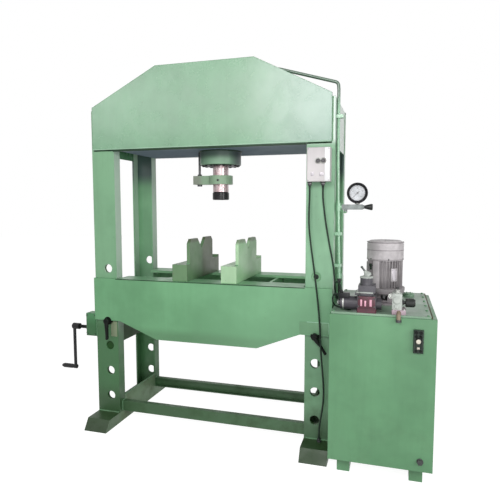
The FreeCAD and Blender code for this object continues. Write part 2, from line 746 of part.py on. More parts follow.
# ---------------------------------------------------------------- winch
def make_winch():
    left = "-1 * (column_outer + winch_width)"
    body = new_body("winch_housing")
    add(body, "XZ", rectangle(left, "-1 * column_outer", "winch_bottom", "winch_top"),
        "0", "column_flange")
    cut(body, "XZ", rectangle(f"{left} + winch_wall", "-1 * column_outer - winch_wall",
                              "winch_bottom + winch_wall", "winch_top - winch_wall"),
        "winch_wall", "column_flange")
    cut(body, "YZ", ("shaft_y", "shaft_z", "shaft / 2 + fit_gap"), left, "winch_width")
    place(body)

    body = new_body("winch_carrier")
    web_left = "-1 * (column_inner + flange + web)"
    lip = f"{web_left} - carrier_flange"
    add(body, "XZ", [(lip, "carrier_bottom"), ("-1 * (column_inner + flange)", "carrier_bottom"),
                     ("-1 * (column_inner + flange)", "carrier_top"), (lip, "carrier_top"),
                     (lip, "carrier_top - web"), (web_left, "carrier_top - web"),
                     (web_left, "carrier_bottom + web"), (lip, "carrier_bottom + web")],
        "column_flange", "frame_depth - 2 * column_flange")
    add(body, "XZ", rectangle("-1 * (column_outer - flange)", "-1 * (column_inner + flange)",
                              "carrier_guard_bottom", "carrier_top"), "column_flange", "web")
    place(body)

    # Shaft and drum turn as one; the drum lies inside the left front column, beside the locking pin.
    body = new_body("winch_drum")
    shaft = "shaft / 2"
    inside = "column_outer - flange - 1"
    outside = "crank_x - crank_bar / 2"
    turn(body, [("0", f"{inside} - drum_length"), ("drum / 2", f"{inside} - drum_length"),
                ("drum / 2", f"{inside} - drum_length + 4"),
                ("drum / 2 - drum_groove", f"{inside} - drum_length + 4"),
                ("drum / 2 - drum_groove", f"{inside} - 4"), ("drum / 2", f"{inside} - 4"),
                ("drum / 2", inside), (shaft, inside), (shaft, outside), ("0", outside)])
    place(body, y="shaft_y", z="shaft_z", rotation=TO_LEFT)

    # The crank is drawn hanging from its hub, about the shaft's axis.
    body = new_body("winch_crank")
    hub_end = f"{outside} + crank_bar + 2"
    hub_start = f"{hub_end} - crank_hub_length - 10"
    turn(body, [(shaft, hub_start), ("crank_hub / 2", hub_start), ("crank_hub / 2", f"{hub_end} - 5"),
                ("crank_hub / 2 - 5", hub_end), ("0", hub_end), ("0", outside), (shaft, outside)])
    sketch = new_sketch(body, "YZ", "0")
    draw_circle(sketch, "0", "crank_x", "crank_bar / 2")
    bar = body.newObject("PartDesign::Pad", f"{body.Name}_bar")
    bar.Profile = sketch
    bar.setExpression("Length", bind("crank_arm"))
    bar.Reversed = True
    add(body, "XY", ("-1 * crank_arm", "0", "grip_pin / 2"), "crank_x", "grip_length")
    add(body, "XY", ("-1 * crank_arm", "0", "crank_eye / 2"), "crank_x - crank_bar / 2 - 1", "crank_bar + 2")
    place(body, y="shaft_y", z="shaft_z", rotation=TO_LEFT)

    body = new_body("crank_grip")
    bore = "grip_pin / 2 + fit_gap"
    near, far = "crank_x + crank_bar / 2 + 1 + fit_gap", "crank_x + grip_length"
    turn(body, [(bore, near), ("grip / 2 - 4", near), ("grip / 2", f"{near} + 12"),
                ("grip / 2", f"{far} - 14"), ("grip / 2 - 5", far), (bore, far)])
    place(body, y="shaft_y", z="shaft_z - crank_arm", rotation=TO_LEFT)


# ---------------------------------------------------------------- control box
def make_control_box():
    right = "box_left + box_width"
    top = "box_bottom + box_height"
    body = new_body("control_box")
    add(body, "XZ", rectangle("box_left", right, "box_bottom", top), "-1 * box_depth", "box_depth")
    cut(body, "XZ", rectangle("box_left + box_wall", f"{right} - box_wall", "box_bottom + box_wall",
                              f"{top} - box_wall"), "-1 * box_depth", "box_depth - box_wall")
    for x in ("box_left + gland * 0.625", "box_left + box_width * 0.67"):
        add(body, "XY", (x, "-1 * box_depth / 2", "gland / 2"), "box_bottom - gland_length", "gland_length")
    place(body)

    body = new_body("control_box_cover")
    face = "-1 * (box_depth + box_cover)"
    add(body, "XZ", rectangle("box_left", right, "box_bottom", top), face, "box_cover")
    bevel(body, "3", lambda edge: edge.BoundBox.YMax < -value("box_depth + box_cover") + 1e-3)
    for x in ("button_left_x", "button_right_x"):
        cut(body, "XZ", (x, "button_z", "button / 2 + fit_gap"), face, "box_cover")
    place(body)

    for word in ("left", "right"):
        body = new_body(f"push_button_{word}")
        radius = "button / 2"
        back = "0 - box_cover - 8"
        turn(body, [("0", back), (f"{radius} + 1.5", back), (f"{radius} + 1.5", f"{back} + 4"),
                    (radius, f"{back} + 4"), (radius, "button_rise - 2"),
                    (f"{radius} - 2", "button_rise"), ("0", "button_rise")])
        place(body, x=f"button_{word}_x", y=face, z="button_z", rotation=TO_FRONT)


# ---------------------------------------------------------------- pressure pipe and gauge
def pipe_route():
    """From the cylinder's port over the crosshead's right slope, down the column, to the valves."""
    riser = "barrel_top + cap_height + port_height + pipe_riser"
    return [tuple(value(text) for text in point) for point in (
        ("0", "ram_y", "barrel_top + cap_height + port_height"),
        ("0", "ram_y", riser),
        ("head_top_half * 0.855", "ram_y * 0.76", riser),
        ("head_half * 0.58", "pipe_y", "head_top * 0.974"),
        ("column_outer + pipe_gap * 0.7", "pipe_y", "column_top * 1.041"),
        ("column_outer + pipe_gap", "pipe_y", "column_top * 1.022"),
        ("column_outer + pipe_gap * 1.1", "pipe_y", "barrel_bottom"),
        ("column_outer + pipe_gap * 1.65", "pipe_y", "tee_z"),
        ("column_outer + pipe_gap * 2.7", "pipe_y", "lid_top + pipe_end + pipe_end_run"),
        ("column_outer + pipe_gap * 2.8", "pipe_y", "lid_top + pipe_end"),
    )]


def pipe_x(z):
    """Where the leaning pipe stands beside the column at height z."""
    route = pipe_route()
    for (x0, _, z0), (x1, _, z1) in zip(route[5:], route[6:]):
        if z1 <= z <= z0:
            return x0 + (x1 - x0) * (z - z0) / (z1 - z0)
    raise ValueError("no pipe at this height")


def make_pressure_pipe():
    """The steel pipe, with the gauge tee on it and a union nut at its lower end."""
    tube, _, _ = sweep_tube(pipe_route(), value("pipe"), largest=value("pipe * 2.5"))
    x, y, z = pipe_route()[-1]
    up = FreeCAD.Vector(0, 0, 1)
    nut = Part.makeCylinder(value("union_nut / 2"), value("union_nut_height"),
                            FreeCAD.Vector(x, y, z - value("nut_overhang")), up)
    tee_z = value("tee_z")
    tee_x = pipe_x(tee_z)
    tee_height = value("tee_height")
    tee = Part.makeCylinder(value("tee") / 2, tee_height,
                            FreeCAD.Vector(tee_x, y, tee_z - tee_height / 2), up)
    stub_length = value("tank_left + gauge_block_start") - tee_x
    stub = Part.makeCylinder(value("pipe") * 0.7, stub_length, FreeCAD.Vector(tee_x, y, tee_z),
                             FreeCAD.Vector(1, 0, 0))
    item = doc.addObject("Part::Feature", "pressure_pipe")
    item.Label = "pressure_pipe"
    item.Shape = tube.fuse([nut, tee, stub]).removeSplitter()
    return place(item)


def make_pipe_clamps(pipe):
    """Three blocks on the column's outer face, bored by the pipe itself."""
    blocks = []
    for index, z in enumerate(("clamp_high", "clamp_middle", "clamp_low")):
        block = doc.addObject("Part::Box", f"clamp_block_{index}")
        block.setExpression("Length", bind("clamp"))
        block.setExpression("Width", bind("clamp"))
        block.setExpression("Height", bind("clamp_depth"))
        block.setExpression("Placement.Base.x", bind("column_outer - centre_x"))
        block.setExpression("Placement.Base.y", bind("pipe_y - clamp / 2 - 2 - centre_y"))
        block.setExpression("Placement.Base.z", bind(z))
        blocks.append(block)
    group = doc.addObject("Part::MultiFuse", "clamp_blocks")
    group.Shapes = blocks
    clamps = doc.addObject("Part::Cut", "pipe_clamps")
    clamps.Label = "pipe_clamps"
    clamps.Base = group
    clamps.Tool = pipe
    sub_parts.append(clamps)


def make_gauge():
    """A round gauge on an isolator block beside the pipe's tee."""
    body = new_body("gauge_case")
    radius = "gauge / 2"
    rim = f"{radius} - gauge_rim"
    turn(body, [("0", "0"), (f"{radius} - 6", "0"), (f"{radius} - 3", "4"),
                (f"{radius} - 3", "gauge_depth - 14"), (radius, "gauge_depth - 12"),
                (radius, "gauge_depth - 2"), (f"{radius} - 2", "gauge_depth"),
                (rim, "gauge_depth"), (rim, "gauge_depth - gauge_recess"),
                ("0", "gauge_depth - gauge_recess")])
    # The stem hangs from the case and screws into the isolator block.
    stem_top = "gauge / 2 - 4"
    stem = "gauge_z - tee_z - tee_block / 2"
    sketch = new_sketch(body, "XZ", "0")
    draw_circle(sketch, "0", "gauge_depth / 2 - 4", "gauge_stem / 2")
    leg = body.newObject("PartDesign::Pad", "gauge_case_stem")
    leg.Profile = sketch
    leg.setExpression("Length", bind(f"{stem}"))
    leg.Reversed = False
    place(body, x="gauge_x", y="pipe_y + gauge_depth / 2 - 4", z="gauge_z", rotation=TO_FRONT)

    body = new_body("gauge_glass")
    turn(body, [("0", "0"), (f"{rim} - 0.2", "0"), (f"{rim} - 0.2", "gauge_glass"),
                ("0", "gauge_glass")])
    front = "pipe_y - gauge_depth / 2 - 4"
    place(body, x="gauge_x", y=f"{front} + gauge_glass + 2", z="gauge_z", rotation=TO_FRONT)

    body = new_body("gauge_needle")
    turn(body, [("0", "0"), ("5", "0"), ("5", "4"), ("0", "5")])
    add(body, "XY", [("-1.6", "-12"), ("1.6", "-12"), ("0.5", "gauge * 0.36"),
                     ("-0.5", "gauge * 0.36")], "1", "1.2")
    back = f"{front} + gauge_recess - fit_gap"
    place(body, x="gauge_x", y=back, z="gauge_z",
          rotation=FreeCAD.Rotation(FreeCAD.Vector(0, 1, 0), 225) * TO_FRONT)

    body = new_body("gauge_block")
    low, high = "tee_z - tee_block / 2", "tee_z + tee_block / 2"
    left = "tank_left + gauge_block_start"
    right = f"{left} + gauge_block"
    add(body, "YZ", rectangle("pipe_y - tee_block / 2", "pipe_y + tee_block / 2", low, high),
        left, "gauge_block")
    add(body, "YZ", ("pipe_y", "tee_z", "tee_block * 0.36"), right, "isolator_neck")
    add(body, "XY", (f"{left} + test_port_x", "pipe_y", "test_port / 2"),
        f"{low} - test_port_length", "test_port_length")
    place(body)

    body = new_body("isolator_knob")
    turn(body, [("0", "0"), ("tee_block * 0.3", "0"), ("tee_block * 0.42", "isolator_length * 0.35"),
                ("isolator / 2", "isolator_length * 0.7"), ("isolator / 2", "isolator_length - 3"),
                ("isolator / 2 - 3", "isolator_length"), ("0", "isolator_length")])
    place(body, x=f"{right} + isolator_neck + fit_gap", y="pipe_y", z="tee_z", rotation=TO_RIGHT)


# ---------------------------------------------------------------- power pack
def make_tank():
    left, right = "tank_left", "tank_left + tank_width"
    front, rear = "-1 * tank_front", "tank_depth - tank_front"
    body = new_body("tank_body")
    add(body, "XY", rectangle(left, right, front, rear), "tank_bottom", "tank_top - tank_bottom")
    # Hollow, with a rim turned inwards at the top on which the lid rests.
    cut(body, "XY", rectangle(f"{left} + tank_rim", f"{right} - tank_rim",
                              f"{front} + tank_rim", f"{rear} - tank_rim"),
        "tank_bottom + tank_wall", "tank_top - tank_bottom")
    cut(body, "XY", rectangle(f"{left} + tank_wall", f"{right} - tank_wall",
                              f"{front} + tank_wall", f"{rear} - tank_wall"),
        "tank_bottom + tank_wall", "tank_top - tank_bottom - tank_wall - tank_rim_thickness")
    for low in (f"{left} + skid_inset", f"{right} - skid_inset - skid"):
        add(body, "XY", rectangle(low, f"{low} + skid", f"{front} + skid_inset", f"{rear} - skid_inset"),
            "0", "tank_bottom")
    place(body)

    body = new_body("tank_lid")
    add(body, "XY", rectangle(f"{left} + lid_inset / 2", f"{right} - lid_right_inset",
                              f"{front} + lid_inset", f"{rear} - lid_inset / 2"), "tank_top", "lid")
    motor_x = "tank_left + motor_x"
    add(body, "XY", (f"{right} - 110", f"{rear} - 110", "filler / 2"), "lid_top", "filler_height")
    cut(body, "XY", (motor_x, "motor_y", "bell_inside / 2"), "tank_top", "lid")
    place(body)

    body = new_body("level_gauge")
    low = f"{left} + level_x - level_width / 2"
    add(body, "XZ", rectangle(low, f"{low} + level_width", "level_bottom",
                              "level_bottom + level_height"), f"{front} - level_depth", "level_depth")
    cut(body, "XZ", rectangle(f"{low} + 12", f"{low} + level_width - 12", "level_bottom + 22",
                              "level_bottom + level_height - 22"), f"{front} - level_depth", "5")
    bevel(body, "3", lambda edge: edge.BoundBox.YMax < -value("tank_front + level_depth") + 1e-3
          and edge.Length > value("level_width") - 1)
    place(body)


def make_motor():
    """The finned body stands on its flange; cowl, fan and shaft share its upright axis."""
    x = "tank_left + motor_x"
    shaft_hole = "rotor_shaft / 2 + fit_gap"
    body = new_body("bellhousing")
    turn(body, [("bell_inside / 2", "0"), ("motor_flange / 2 - 12", "0"), ("motor_flange / 2 - 12", "10"),
                ("bell / 2", "14"), ("bell / 2", "bell_height - 12"),
                ("motor_flange / 2 - 2", "bell_height - 10"), ("motor_flange / 2 - 2", "bell_height"),
                ("bell_inside / 2", "bell_height")])
    cut(body, "XZ", rectangle("-16", "16", "22", "bell_height - 20"), "-1 * bell", "bell")
    place(body, x=x, y="motor_y", z="lid_top")

    body = new_body("motor_body")
    core = "motor_core / 2"
    shield = "cowl / 2 - cowl_wall - fit_gap"
    shield_low = "motor_height - 2"
    turn(body, [(shaft_hole, "0"), ("motor_flange / 2", "0"), ("motor_flange / 2", "motor_flange_height"),
                (core, "motor_flange_height + 4"), (core, shield_low), (shield, shield_low),
                (shield, "motor_height + 8"), (shaft_hole, "motor_height + 8")])
    fin = add(body, "XY", rectangle("-1 * fin / 2", "fin / 2", f"{core} - 2", f"{core} + fin_rise"),
              "motor_flange_height", f"{shield_low} - motor_flange_height")
    around(body, fin, "fin_count")
    # Terminal box at the rear, a little to the left, clear of the fins' tips.
    add(body, "XY", [("-1 * terminal_width / 2", f"{core} - 4"), ("terminal_width / 2", f"{core} - 4"),
                     ("terminal_width / 2", f"{core} + terminal_depth"),
                     ("-1 * terminal_width / 2", f"{core} + terminal_depth")],
        "motor_flange_height + terminal_lift", "terminal_height")
    add(body, "XY", ("0", f"{core} + terminal_depth - terminal_gland_inset", "gland / 2"),
        "motor_flange_height + terminal_lift - gland_length", "gland_length")
    place(body, x=x, y="motor_y", z="motor_base",
          rotation=FreeCAD.Rotation(FreeCAD.Vector(0, 0, 1), value("terminal_turn")))

    body = new_body("motor_cowl")
    outer = "cowl / 2"
    inner = f"{outer} - cowl_wall"
    turn(body, [(inner, "0"), (outer, "0"), (outer, "cowl_height - 16"),
                (f"{outer} - 5", "cowl_height - 5"), (f"{outer} - 16", "cowl_height"),
                ("0", "cowl_height"), ("0", "cowl_height - cowl_wall"),
                (f"{outer} - 17", "cowl_height - cowl_wall"),
                (f"{inner} - 5", "cowl_height - 7"), (inner, "cowl_height - 17")])
    slot = cut(body, "XY", rectangle("-1 * cowl_slot / 2", "cowl_slot / 2", "cowl / 7",
                                     "cowl / 2 - 22"), "cowl_height - cowl_wall", "cowl_wall")
    around(body, slot, "cowl_slot_count")
    place(body, x=x, y="motor_y", z="motor_base + motor_height")

    body = new_body("motor_rotor")
    shaft = "rotor_shaft / 2"
    shaft_top = "motor_height + cowl_height - 20"
    fan_low = "motor_height + 14"
    turn(body, [("0", "0 - bell_height + 6"), ("coupling / 2", "0 - bell_height + 6"),
                ("coupling / 2", "-12"), (shaft, "-12"), (shaft, fan_low), ("fan / 2", fan_low),
                ("fan / 2", f"{fan_low} + 3"), (shaft, f"{fan_low} + 3"), (shaft, shaft_top),
                ("0", shaft_top)])
    blade = add(body, "XY", rectangle("-1 * fan_blade / 2", "fan_blade / 2", f"{shaft} - 2",
                                      "fan / 2 - 2"), f"{fan_low} + 2", "fan_blade_height")
    around(body, blade, "fan_blade_count")
    cut(body, "XY", ("0", "0", "9"), "0 - bell_height + 6", "26")
    place(body, x=x, y="motor_y", z="motor_base")

    body = new_body("pump")
    turn(body, [("0", "0 - lid - pump_height"), ("pump_size / 2 - 20", "0 - lid - pump_height"),
                ("pump_size / 2", "0 - lid - pump_height + 12"), ("pump_size / 2", "0 - lid"),
                ("bell_inside / 2 - fit_gap", "0 - lid"), ("bell_inside / 2 - fit_gap", "-2"), ("8", "-2"),
                ("8", "30"), ("0", "30")])
    place(body, x=x, y="motor_y", z="lid_top")


def make_valves():
    left, right = "tank_left + valve_x", "tank_left + valve_x + valve_width"
    front, back = "-1 * valve_front", "valve_depth - valve_front"
    middle_y = "valve_depth / 2 - valve_front"
    body = new_body("manifold")
    add(body, "XY", rectangle(left, right, front, f"{back} + 8"),
        "lid_top", "manifold_rise")
    bevel(body, "3", is_upright)
    place(body)

    body = new_body("solenoid_valve")
    base = "lid_top + manifold_rise"
    add(body, "XY", rectangle(left, right, front, back), base, "solenoid_rise")
    coil_z = "lid_top + coil_lift + coil / 2"
    coil_y = f"{front} + coil / 2 + 4"
    add(body, "YZ", (coil_y, coil_z, "coil / 2"), f"{left} - coil_length", "coil_length")
    add(body, "YZ", (coil_y, coil_z, "coil / 4"), f"{left} - coil_length - 10", "10")
    add(body, "YZ", (coil_y, coil_z, "coil * 0.42"), right, "coil_cap")
    add(body, "YZ", ("-1 * hose_y", "lid_top + hose_rise", "hose_nipple / 2"),
        f"{left} - hose_nipple_length", "hose_nipple_length")
    place(body)

    body = new_body("lever_valve")
    low = f"{base} + solenoid_rise"
    drum_low = f"{low} + lever_plate_rise + lever_base_rise"
    drum_x = f"{left} + valve_width * 0.44"
    add(body, "XY", rectangle(f"{left} - 12", f"{right} - 12", f"{front} + 20", back),
        low, "lever_plate_rise * 0.45")
    add(body, "XY", rectangle(f"{left} + 2", f"{right} - 6", f"{front} + 26", f"{back} - 6"),
        f"{low} + lever_plate_rise * 0.45", "lever_plate_rise * 0.55 + lever_base_rise")
    add(body, "XY", (drum_x, middle_y, "lever_drum / 2"), drum_low, "lever_drum_rise")
    place(body)

    body = new_body("valve_lever")
    steps = [math.radians(angle) for angle in (0, 30, 60, 90, 120, 150)]
    ball = [(f"lever_ball * {math.sin(step):.4f}", f"-1 * lever_ball * {math.cos(step):.4f}")
            for step in steps]
    turn(body, ball + [("lever / 2", "lever_ball + 6"), ("lever / 2", "lever_length - 16"),
                       ("1.5", "lever_length"), ("0", "lever_length")])
    tilt = FreeCAD.Rotation(FreeCAD.Vector(0, 1, 0), -38)
    place(body, x=f"{drum_x} + 6", y=middle_y, z=f"{drum_low} + lever_drum_rise + lever_ball + fit_gap", rotation=tilt)

    relief_left = "tank_left + relief_x"
    body = new_body("relief_block")
    add(body, "XY", rectangle(relief_left, f"{relief_left} + relief_base_width", front,
                              f"{front} + relief_depth + 8"), "lid_top", "relief_base_rise")
    relief_low = "lid_top + relief_base_rise"
    add(body, "XY", rectangle(relief_left, f"{relief_left} + relief_width", f"{front} + 4",
                              f"{front} + relief_depth"), relief_low, "relief_rise - relief_base_rise")
    # The drain elbow leaves the base to the front and hangs before the tank.
    drain_x = f"{relief_left} + relief_base_width / 2"
    drain_y = "-1 * (tank_front + drain_pipe / 2)"
    add(body, "XZ", (drain_x, "lid_top + drain_pipe / 2", "drain_pipe / 2"), drain_y,
        "drain_pipe + lid_inset")
    add(body, "XY", (drain_x, drain_y, "drain_pipe / 2"), "lid_top - 55", "55 + drain_pipe")
    place(body)

    body = new_body("relief_knob")
    turn(body, [("0", "0"), ("relief_stem / 2", "0"), ("relief_stem / 2", "14"),
                ("relief_knob / 2 - 3", "14"), ("relief_knob / 2", "18"),
                ("relief_knob / 2", "relief_knob_length - 8"),
                ("relief_knob / 2 - 5", "relief_knob_length"), ("0", "relief_knob_length")])
    place(body, x=f"{relief_left} + relief_width + fit_gap", y=f"{front} + relief_depth / 2",
          z="lid_top + relief_knob_z", rotation=TO_RIGHT)


# ---------------------------------------------------------------- cables and hose
def bend(start, heading, steps):
    """Corners of a route: each step is (length, yaw, pitch) in degrees, yaw being added to heading."""
    x, y, z = start
    corners = [start]
    for length, yaw, pitch in steps:
        across = length * math.cos(math.radians(pitch))
        turned = math.radians(heading + yaw)
        x += across * math.cos(turned)
        y += across * math.sin(turned)
        z += length * math.sin(math.radians(pitch))
        corners.append((x, y, z))
    return corners


def make_cables():
    cable = value("cable")
    box_bottom = value("box_bottom - gland_length")
    gland_y = value("-1 * box_depth / 2")
    on_lid = value("lid_top") + cable * 0.72
    # From the box to the motor's terminal box: down the column's right edge, over the tank's lid.
    box_gland = value("box_left + box_width * 0.67")
    reach = value("motor_core / 2 + terminal_depth - terminal_gland_inset")
    turned = math.radians(value("terminal_turn"))
    end_x = value("tank_left + motor_x") - reach * math.sin(turned)
    end_y = value("motor_y") + reach * math.cos(turned)
    end_z = value("motor_base + motor_flange_height + terminal_lift - gland_length")
    rise = end_z - on_lid
    before_end = (806, gland_y + 130)
    slope = math.degrees(math.atan2(end_y - before_end[1], end_x - before_end[0]))
    tail = bend((end_x, end_y, end_z), slope + 180,
                [(rise * 0.4, 0, -90), (rise * 0.43, 0, -60), (rise * 0.455, 0, -30)])
    x, y, _ = tail[-1]
    make_cord("motor_cable", [
        (box_gland, gland_y, box_bottom),
        (box_gland, gland_y, box_bottom - 60),
        (646, gland_y - 3, 1200),
        (668, gland_y - 5, 1080),
        (688, gland_y - 6, 985),
        (695, gland_y - 6, 925),
        (699.5, gland_y - 6, 875),
        (701.5, gland_y - 5.5, on_lid + 37),
        (713.2, gland_y + 1, on_lid + 13.5),
        (731, gland_y + 19, on_lid),
        (752, gland_y + 49, on_lid),
        (772, gland_y + 87, on_lid),
        before_end + (on_lid,),
        (x, y, on_lid),
    ] + tail[2::-1], "cable")
    # From the box down the front of the right column into its foot.
    make_cord("control_cable", [
        (value("box_left + gland * 0.625"), gland_y, box_bottom),
        (value("box_left + gland * 0.625"), gland_y, box_bottom - 70),
        (564, gland_y - 4, 1185),
        (577, gland_y - 7, 1070),
        (594, gland_y - 8, 960),
        (608, gland_y - 7, 850),
        (621, gland_y - 8, 740),
        (629, gland_y - 12, 650),
        (633, gland_y - 16, 560),
        (641, gland_y - 12, 460),
        (650, gland_y - 8, 360),
        (650, gland_y - 7, 280),
        (640, gland_y - 8, 205),
        (value("foot_gland_x"), gland_y - cable, 145),
        (value("foot_gland_x"), gland_y - cable, value("foot_rise + foot_gland")),
    ], "cable")
    # From the pipe's union nut to the valve: down, forwards over the lid, then to the right.
    make_cord("valve_hose", hose_route(), "hose")


def hose_route():
    """Three turns of 30 degrees bring the hose level, three of 28 bring it square to the valve's side."""
    x, y, z = pipe_route()[-1]
    start = (x, y, z - value("nut_overhang"))
    end = tuple(value(text) for text in
                ("tank_left + valve_x - hose_nipple_length", "-1 * hose_y", "lid_top + hose_rise"))
    drop = start[2] - end[2]
    level = bend(start, -84, [(drop * 0.41, 0, -90), (drop * 0.432, 0, -60), (drop * 0.432, 0, -30)])
    x, y, _ = level[-1]
    last = drop * 0.36
    middle = drop * 0.5
    # The first and third level runs are what closes the route in x and y.
    far_x = end[0] - x - last - middle * math.cos(math.radians(56))
    far_y = y - end[1] - middle * math.sin(math.radians(56))
    cos_84, sin_84 = math.cos(math.radians(84)), math.sin(math.radians(84))
    cos_28, sin_28 = math.cos(math.radians(28)), math.sin(math.radians(28))
    third = (far_x * sin_84 - far_y * cos_84) / (cos_28 * sin_84 - sin_28 * cos_84)
    first = (far_y - third * sin_28) / sin_84
    route = level + bend((x, y, end[2]), 0, [(first, -84, 0), (middle, -56, 0), (third, -28, 0)])[1:]
    return route + [end]


def main():
    for side, word in ((-1, "left"), (1, "right")):
        make_column("front", side, word)
        make_column("rear", side, word)
        make_foot(side, word)
        make_cross_member(side, word)
        make_v_block(side, word)
    for row in ("front", "rear"):
        make_stretcher(row)
        make_table_beam(row)
    make_crosshead()
    make_cylinder()
    make_ram()
    make_locking_pin(-1, "left", 0)
    make_locking_pin(1, "right", -33)
    make_winch()
    make_control_box()
    pipe = make_pressure_pipe()
    make_pipe_clamps(pipe)
    make_gauge()
    make_tank()
    make_motor()
    make_valves()
    make_cables()

    doc.recompute()
    failed = [item.Name for item in doc.Objects if "Invalid" in item.State or "Error" in item.State]
    if failed:
        raise ValueError(f"failed objects: {failed}")
    for item in sub_parts:
        if item.Shape.isNull() or not item.Shape.isValid():
            raise ValueError(f"{item.Label} has no valid shape")
        item.Shape.exportStep(f"parts/{item.Label}.step")
    print(f"{len(sub_parts)} sub-parts")


main()
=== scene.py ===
import math
import random
from itertools import product

import bmesh
import bpy
from mathutils import Matrix, Vector


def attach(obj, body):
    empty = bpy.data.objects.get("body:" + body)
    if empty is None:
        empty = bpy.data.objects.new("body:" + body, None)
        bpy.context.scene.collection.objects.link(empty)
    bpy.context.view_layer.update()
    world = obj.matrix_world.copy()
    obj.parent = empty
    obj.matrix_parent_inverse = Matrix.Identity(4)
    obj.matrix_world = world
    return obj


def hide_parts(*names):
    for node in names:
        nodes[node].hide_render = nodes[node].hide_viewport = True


# Looks of the hydraulic press. Coordinates in this script are millimetres about the press's own axes,
# x = 0 midway between the columns, y = 0 at their front faces, z = 0 on the floor, as in the CAD source.
# at() turns them into the frame's metres. Materials work in the frame's metres.
CENTRE_X = 106
CENTRE_Y = 214
MM = 0.001

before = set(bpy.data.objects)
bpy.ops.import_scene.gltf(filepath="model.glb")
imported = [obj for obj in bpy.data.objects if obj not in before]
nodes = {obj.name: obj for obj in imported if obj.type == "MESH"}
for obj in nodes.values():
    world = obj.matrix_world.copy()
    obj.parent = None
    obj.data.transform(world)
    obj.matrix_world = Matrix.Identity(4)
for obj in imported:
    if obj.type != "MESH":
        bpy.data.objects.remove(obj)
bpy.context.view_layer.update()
random.seed(7)


def at(x, y, z):
    return Vector(((x - CENTRE_X) * MM, (y - CENTRE_Y) * MM, z * MM))


def fit(item, **settings):
    """Sets attributes and returns the item."""
    for key, setting in settings.items():
        setattr(item, key, setting)
    return item


def placed(name, data):
    """A new object in the scene."""
    item = bpy.data.objects.new(name, data)
    bpy.context.scene.collection.objects.link(item)
    return item


# ---- node graphs
class Graph:
    """The nodes and links of a material or of the world."""

    def __init__(self, tree):
        self.tree = tree
        tree.nodes.clear()

    def add(self, kind, inputs=None, **settings):
        """A node; inputs: numbers, colours or sockets to link, by the input's name or place."""
        node = fit(self.tree.nodes.new(kind), **settings)
        self.put(node, inputs or {})
        return node

    def put(self, node, inputs):
        for key, item in inputs.items():
            target = node.inputs[key]
            if isinstance(item, bpy.types.NodeSocket):
                self.tree.links.new(item, target)
            else:
                target.default_value = (*item, 1) if target.type == "RGBA" else item

    def ramp(self, factor, low, high, start=0.0, end=1.0):
        """start below low, end above high, smooth between; low may be above high."""
        return self.add("ShaderNodeMapRange", {"Value": factor, "From Min": low, "From Max": high, "To Min": start,
                                               "To Max": end}, interpolation_type="SMOOTHSTEP").outputs["Result"]

    def math(self, operation, first, second):
        return self.add("ShaderNodeMath", {0: first, 1: second}, operation=operation).outputs[0]

    def times(self, first, second):
        return self.math("MULTIPLY", first, second)

    def seen(self):
        """1 for rays from the camera, off glossy faces and through panes, 0 for those that bring soft light."""
        rays = self.add("ShaderNodeLightPath").outputs
        return self.math("MAXIMUM", rays["Is Camera Ray"],
                         self.math("MAXIMUM", rays["Is Glossy Ray"], rays["Is Transmission Ray"]))


class Coat(Graph):
    """A procedural material, built around one Principled shader. Positions are the object's own, in metres."""

    def __init__(self, name="coat"):
        self.material = bpy.data.materials.new(name)
        self.material.use_nodes = True
        super().__init__(self.material.node_tree)
        self.shader = self.add("ShaderNodeBsdfPrincipled")
        self.output = self.add("ShaderNodeOutputMaterial", {"Surface": self.shader.outputs[0]})
        self.position = self.add("ShaderNodeTexCoord").outputs["Object"]

    def noise(self, scale, detail=3, roughness=0.5, stretch=None, distortion=0):
        spot = self.position
        if stretch:
            spot = self.add("ShaderNodeMapping", {"Vector": spot, "Scale": stretch}).outputs["Vector"]
        return self.add("ShaderNodeTexNoise", {"Vector": spot, "Scale": scale, "Detail": detail,
                                               "Roughness": roughness, "Distortion": distortion}).outputs["Fac"]

    def mix(self, factor, first, second):
        return self.add("ShaderNodeMix", {"Factor": factor, "A": first, "B": second},
                        data_type="RGBA").outputs["Result"]

    def axis(self, name):
        return self.add("ShaderNodeSeparateXYZ", {0: self.position}).outputs[name]

    def normal(self):
        return self.add("ShaderNodeNewGeometry").outputs["Normal"]

    def facing(self, axis, sign):
        """1 on faces that look along an axis, 0 on the others."""
        along = self.add("ShaderNodeSeparateXYZ", {0: self.normal()}).outputs[axis]
        return self.ramp(self.times(along, sign), 0.4, 0.8)

    def bevelled(self, radius, samples):
        return self.add("ShaderNodeBevel", {"Radius": radius}, samples=samples).outputs["Normal"]

    def edges(self, radius):
        """1 along outer and inner edges and 0 on flat faces, from a bevelled normal against the true one."""
        dot = self.add("ShaderNodeVectorMath", {0: self.bevelled(radius, 6), 1: self.normal()},
                       operation="DOT_PRODUCT")
        return self.ramp(self.math("SUBTRACT", 1.0, dot.outputs["Value"]), 0.02, 0.25)

    def relief(self, height, distance, strength, round_edges=0.0):
        bump = self.add("ShaderNodeBump", {"Strength": strength, "Distance": distance, "Height": height})
        if round_edges:
            self.put(bump, {"Normal": self.bevelled(round_edges, 4)})
        self.put(self.shader, {"Normal": bump.outputs["Normal"]})

    def finish(self, colour, roughness, metallic=0.0, **fixed):
        self.put(self.shader, {"Base Color": colour, "Roughness": roughness, "Metallic": metallic,
                               **{key.replace("_", " "): setting for key, setting in fixed.items()}})
        return self.material


def linear(colour):
    """A colour given in 0..255 display values as the shader's linear numbers."""
    return tuple((v / 255 / 12.92) if v <= 10 else ((v / 255 + 0.055) / 1.055) ** 2.4 for v in colour)


def shade(colour, share, lift=0.0):
    """A linear colour made darker or paler."""
    return tuple(min(1, v * share + lift) for v in colour)


# ---- materials, with colours in display values
SHADED_SHARE = (0.17, 0.33, 0.17)  # what the painted shade below the table leaves of red, green and blue
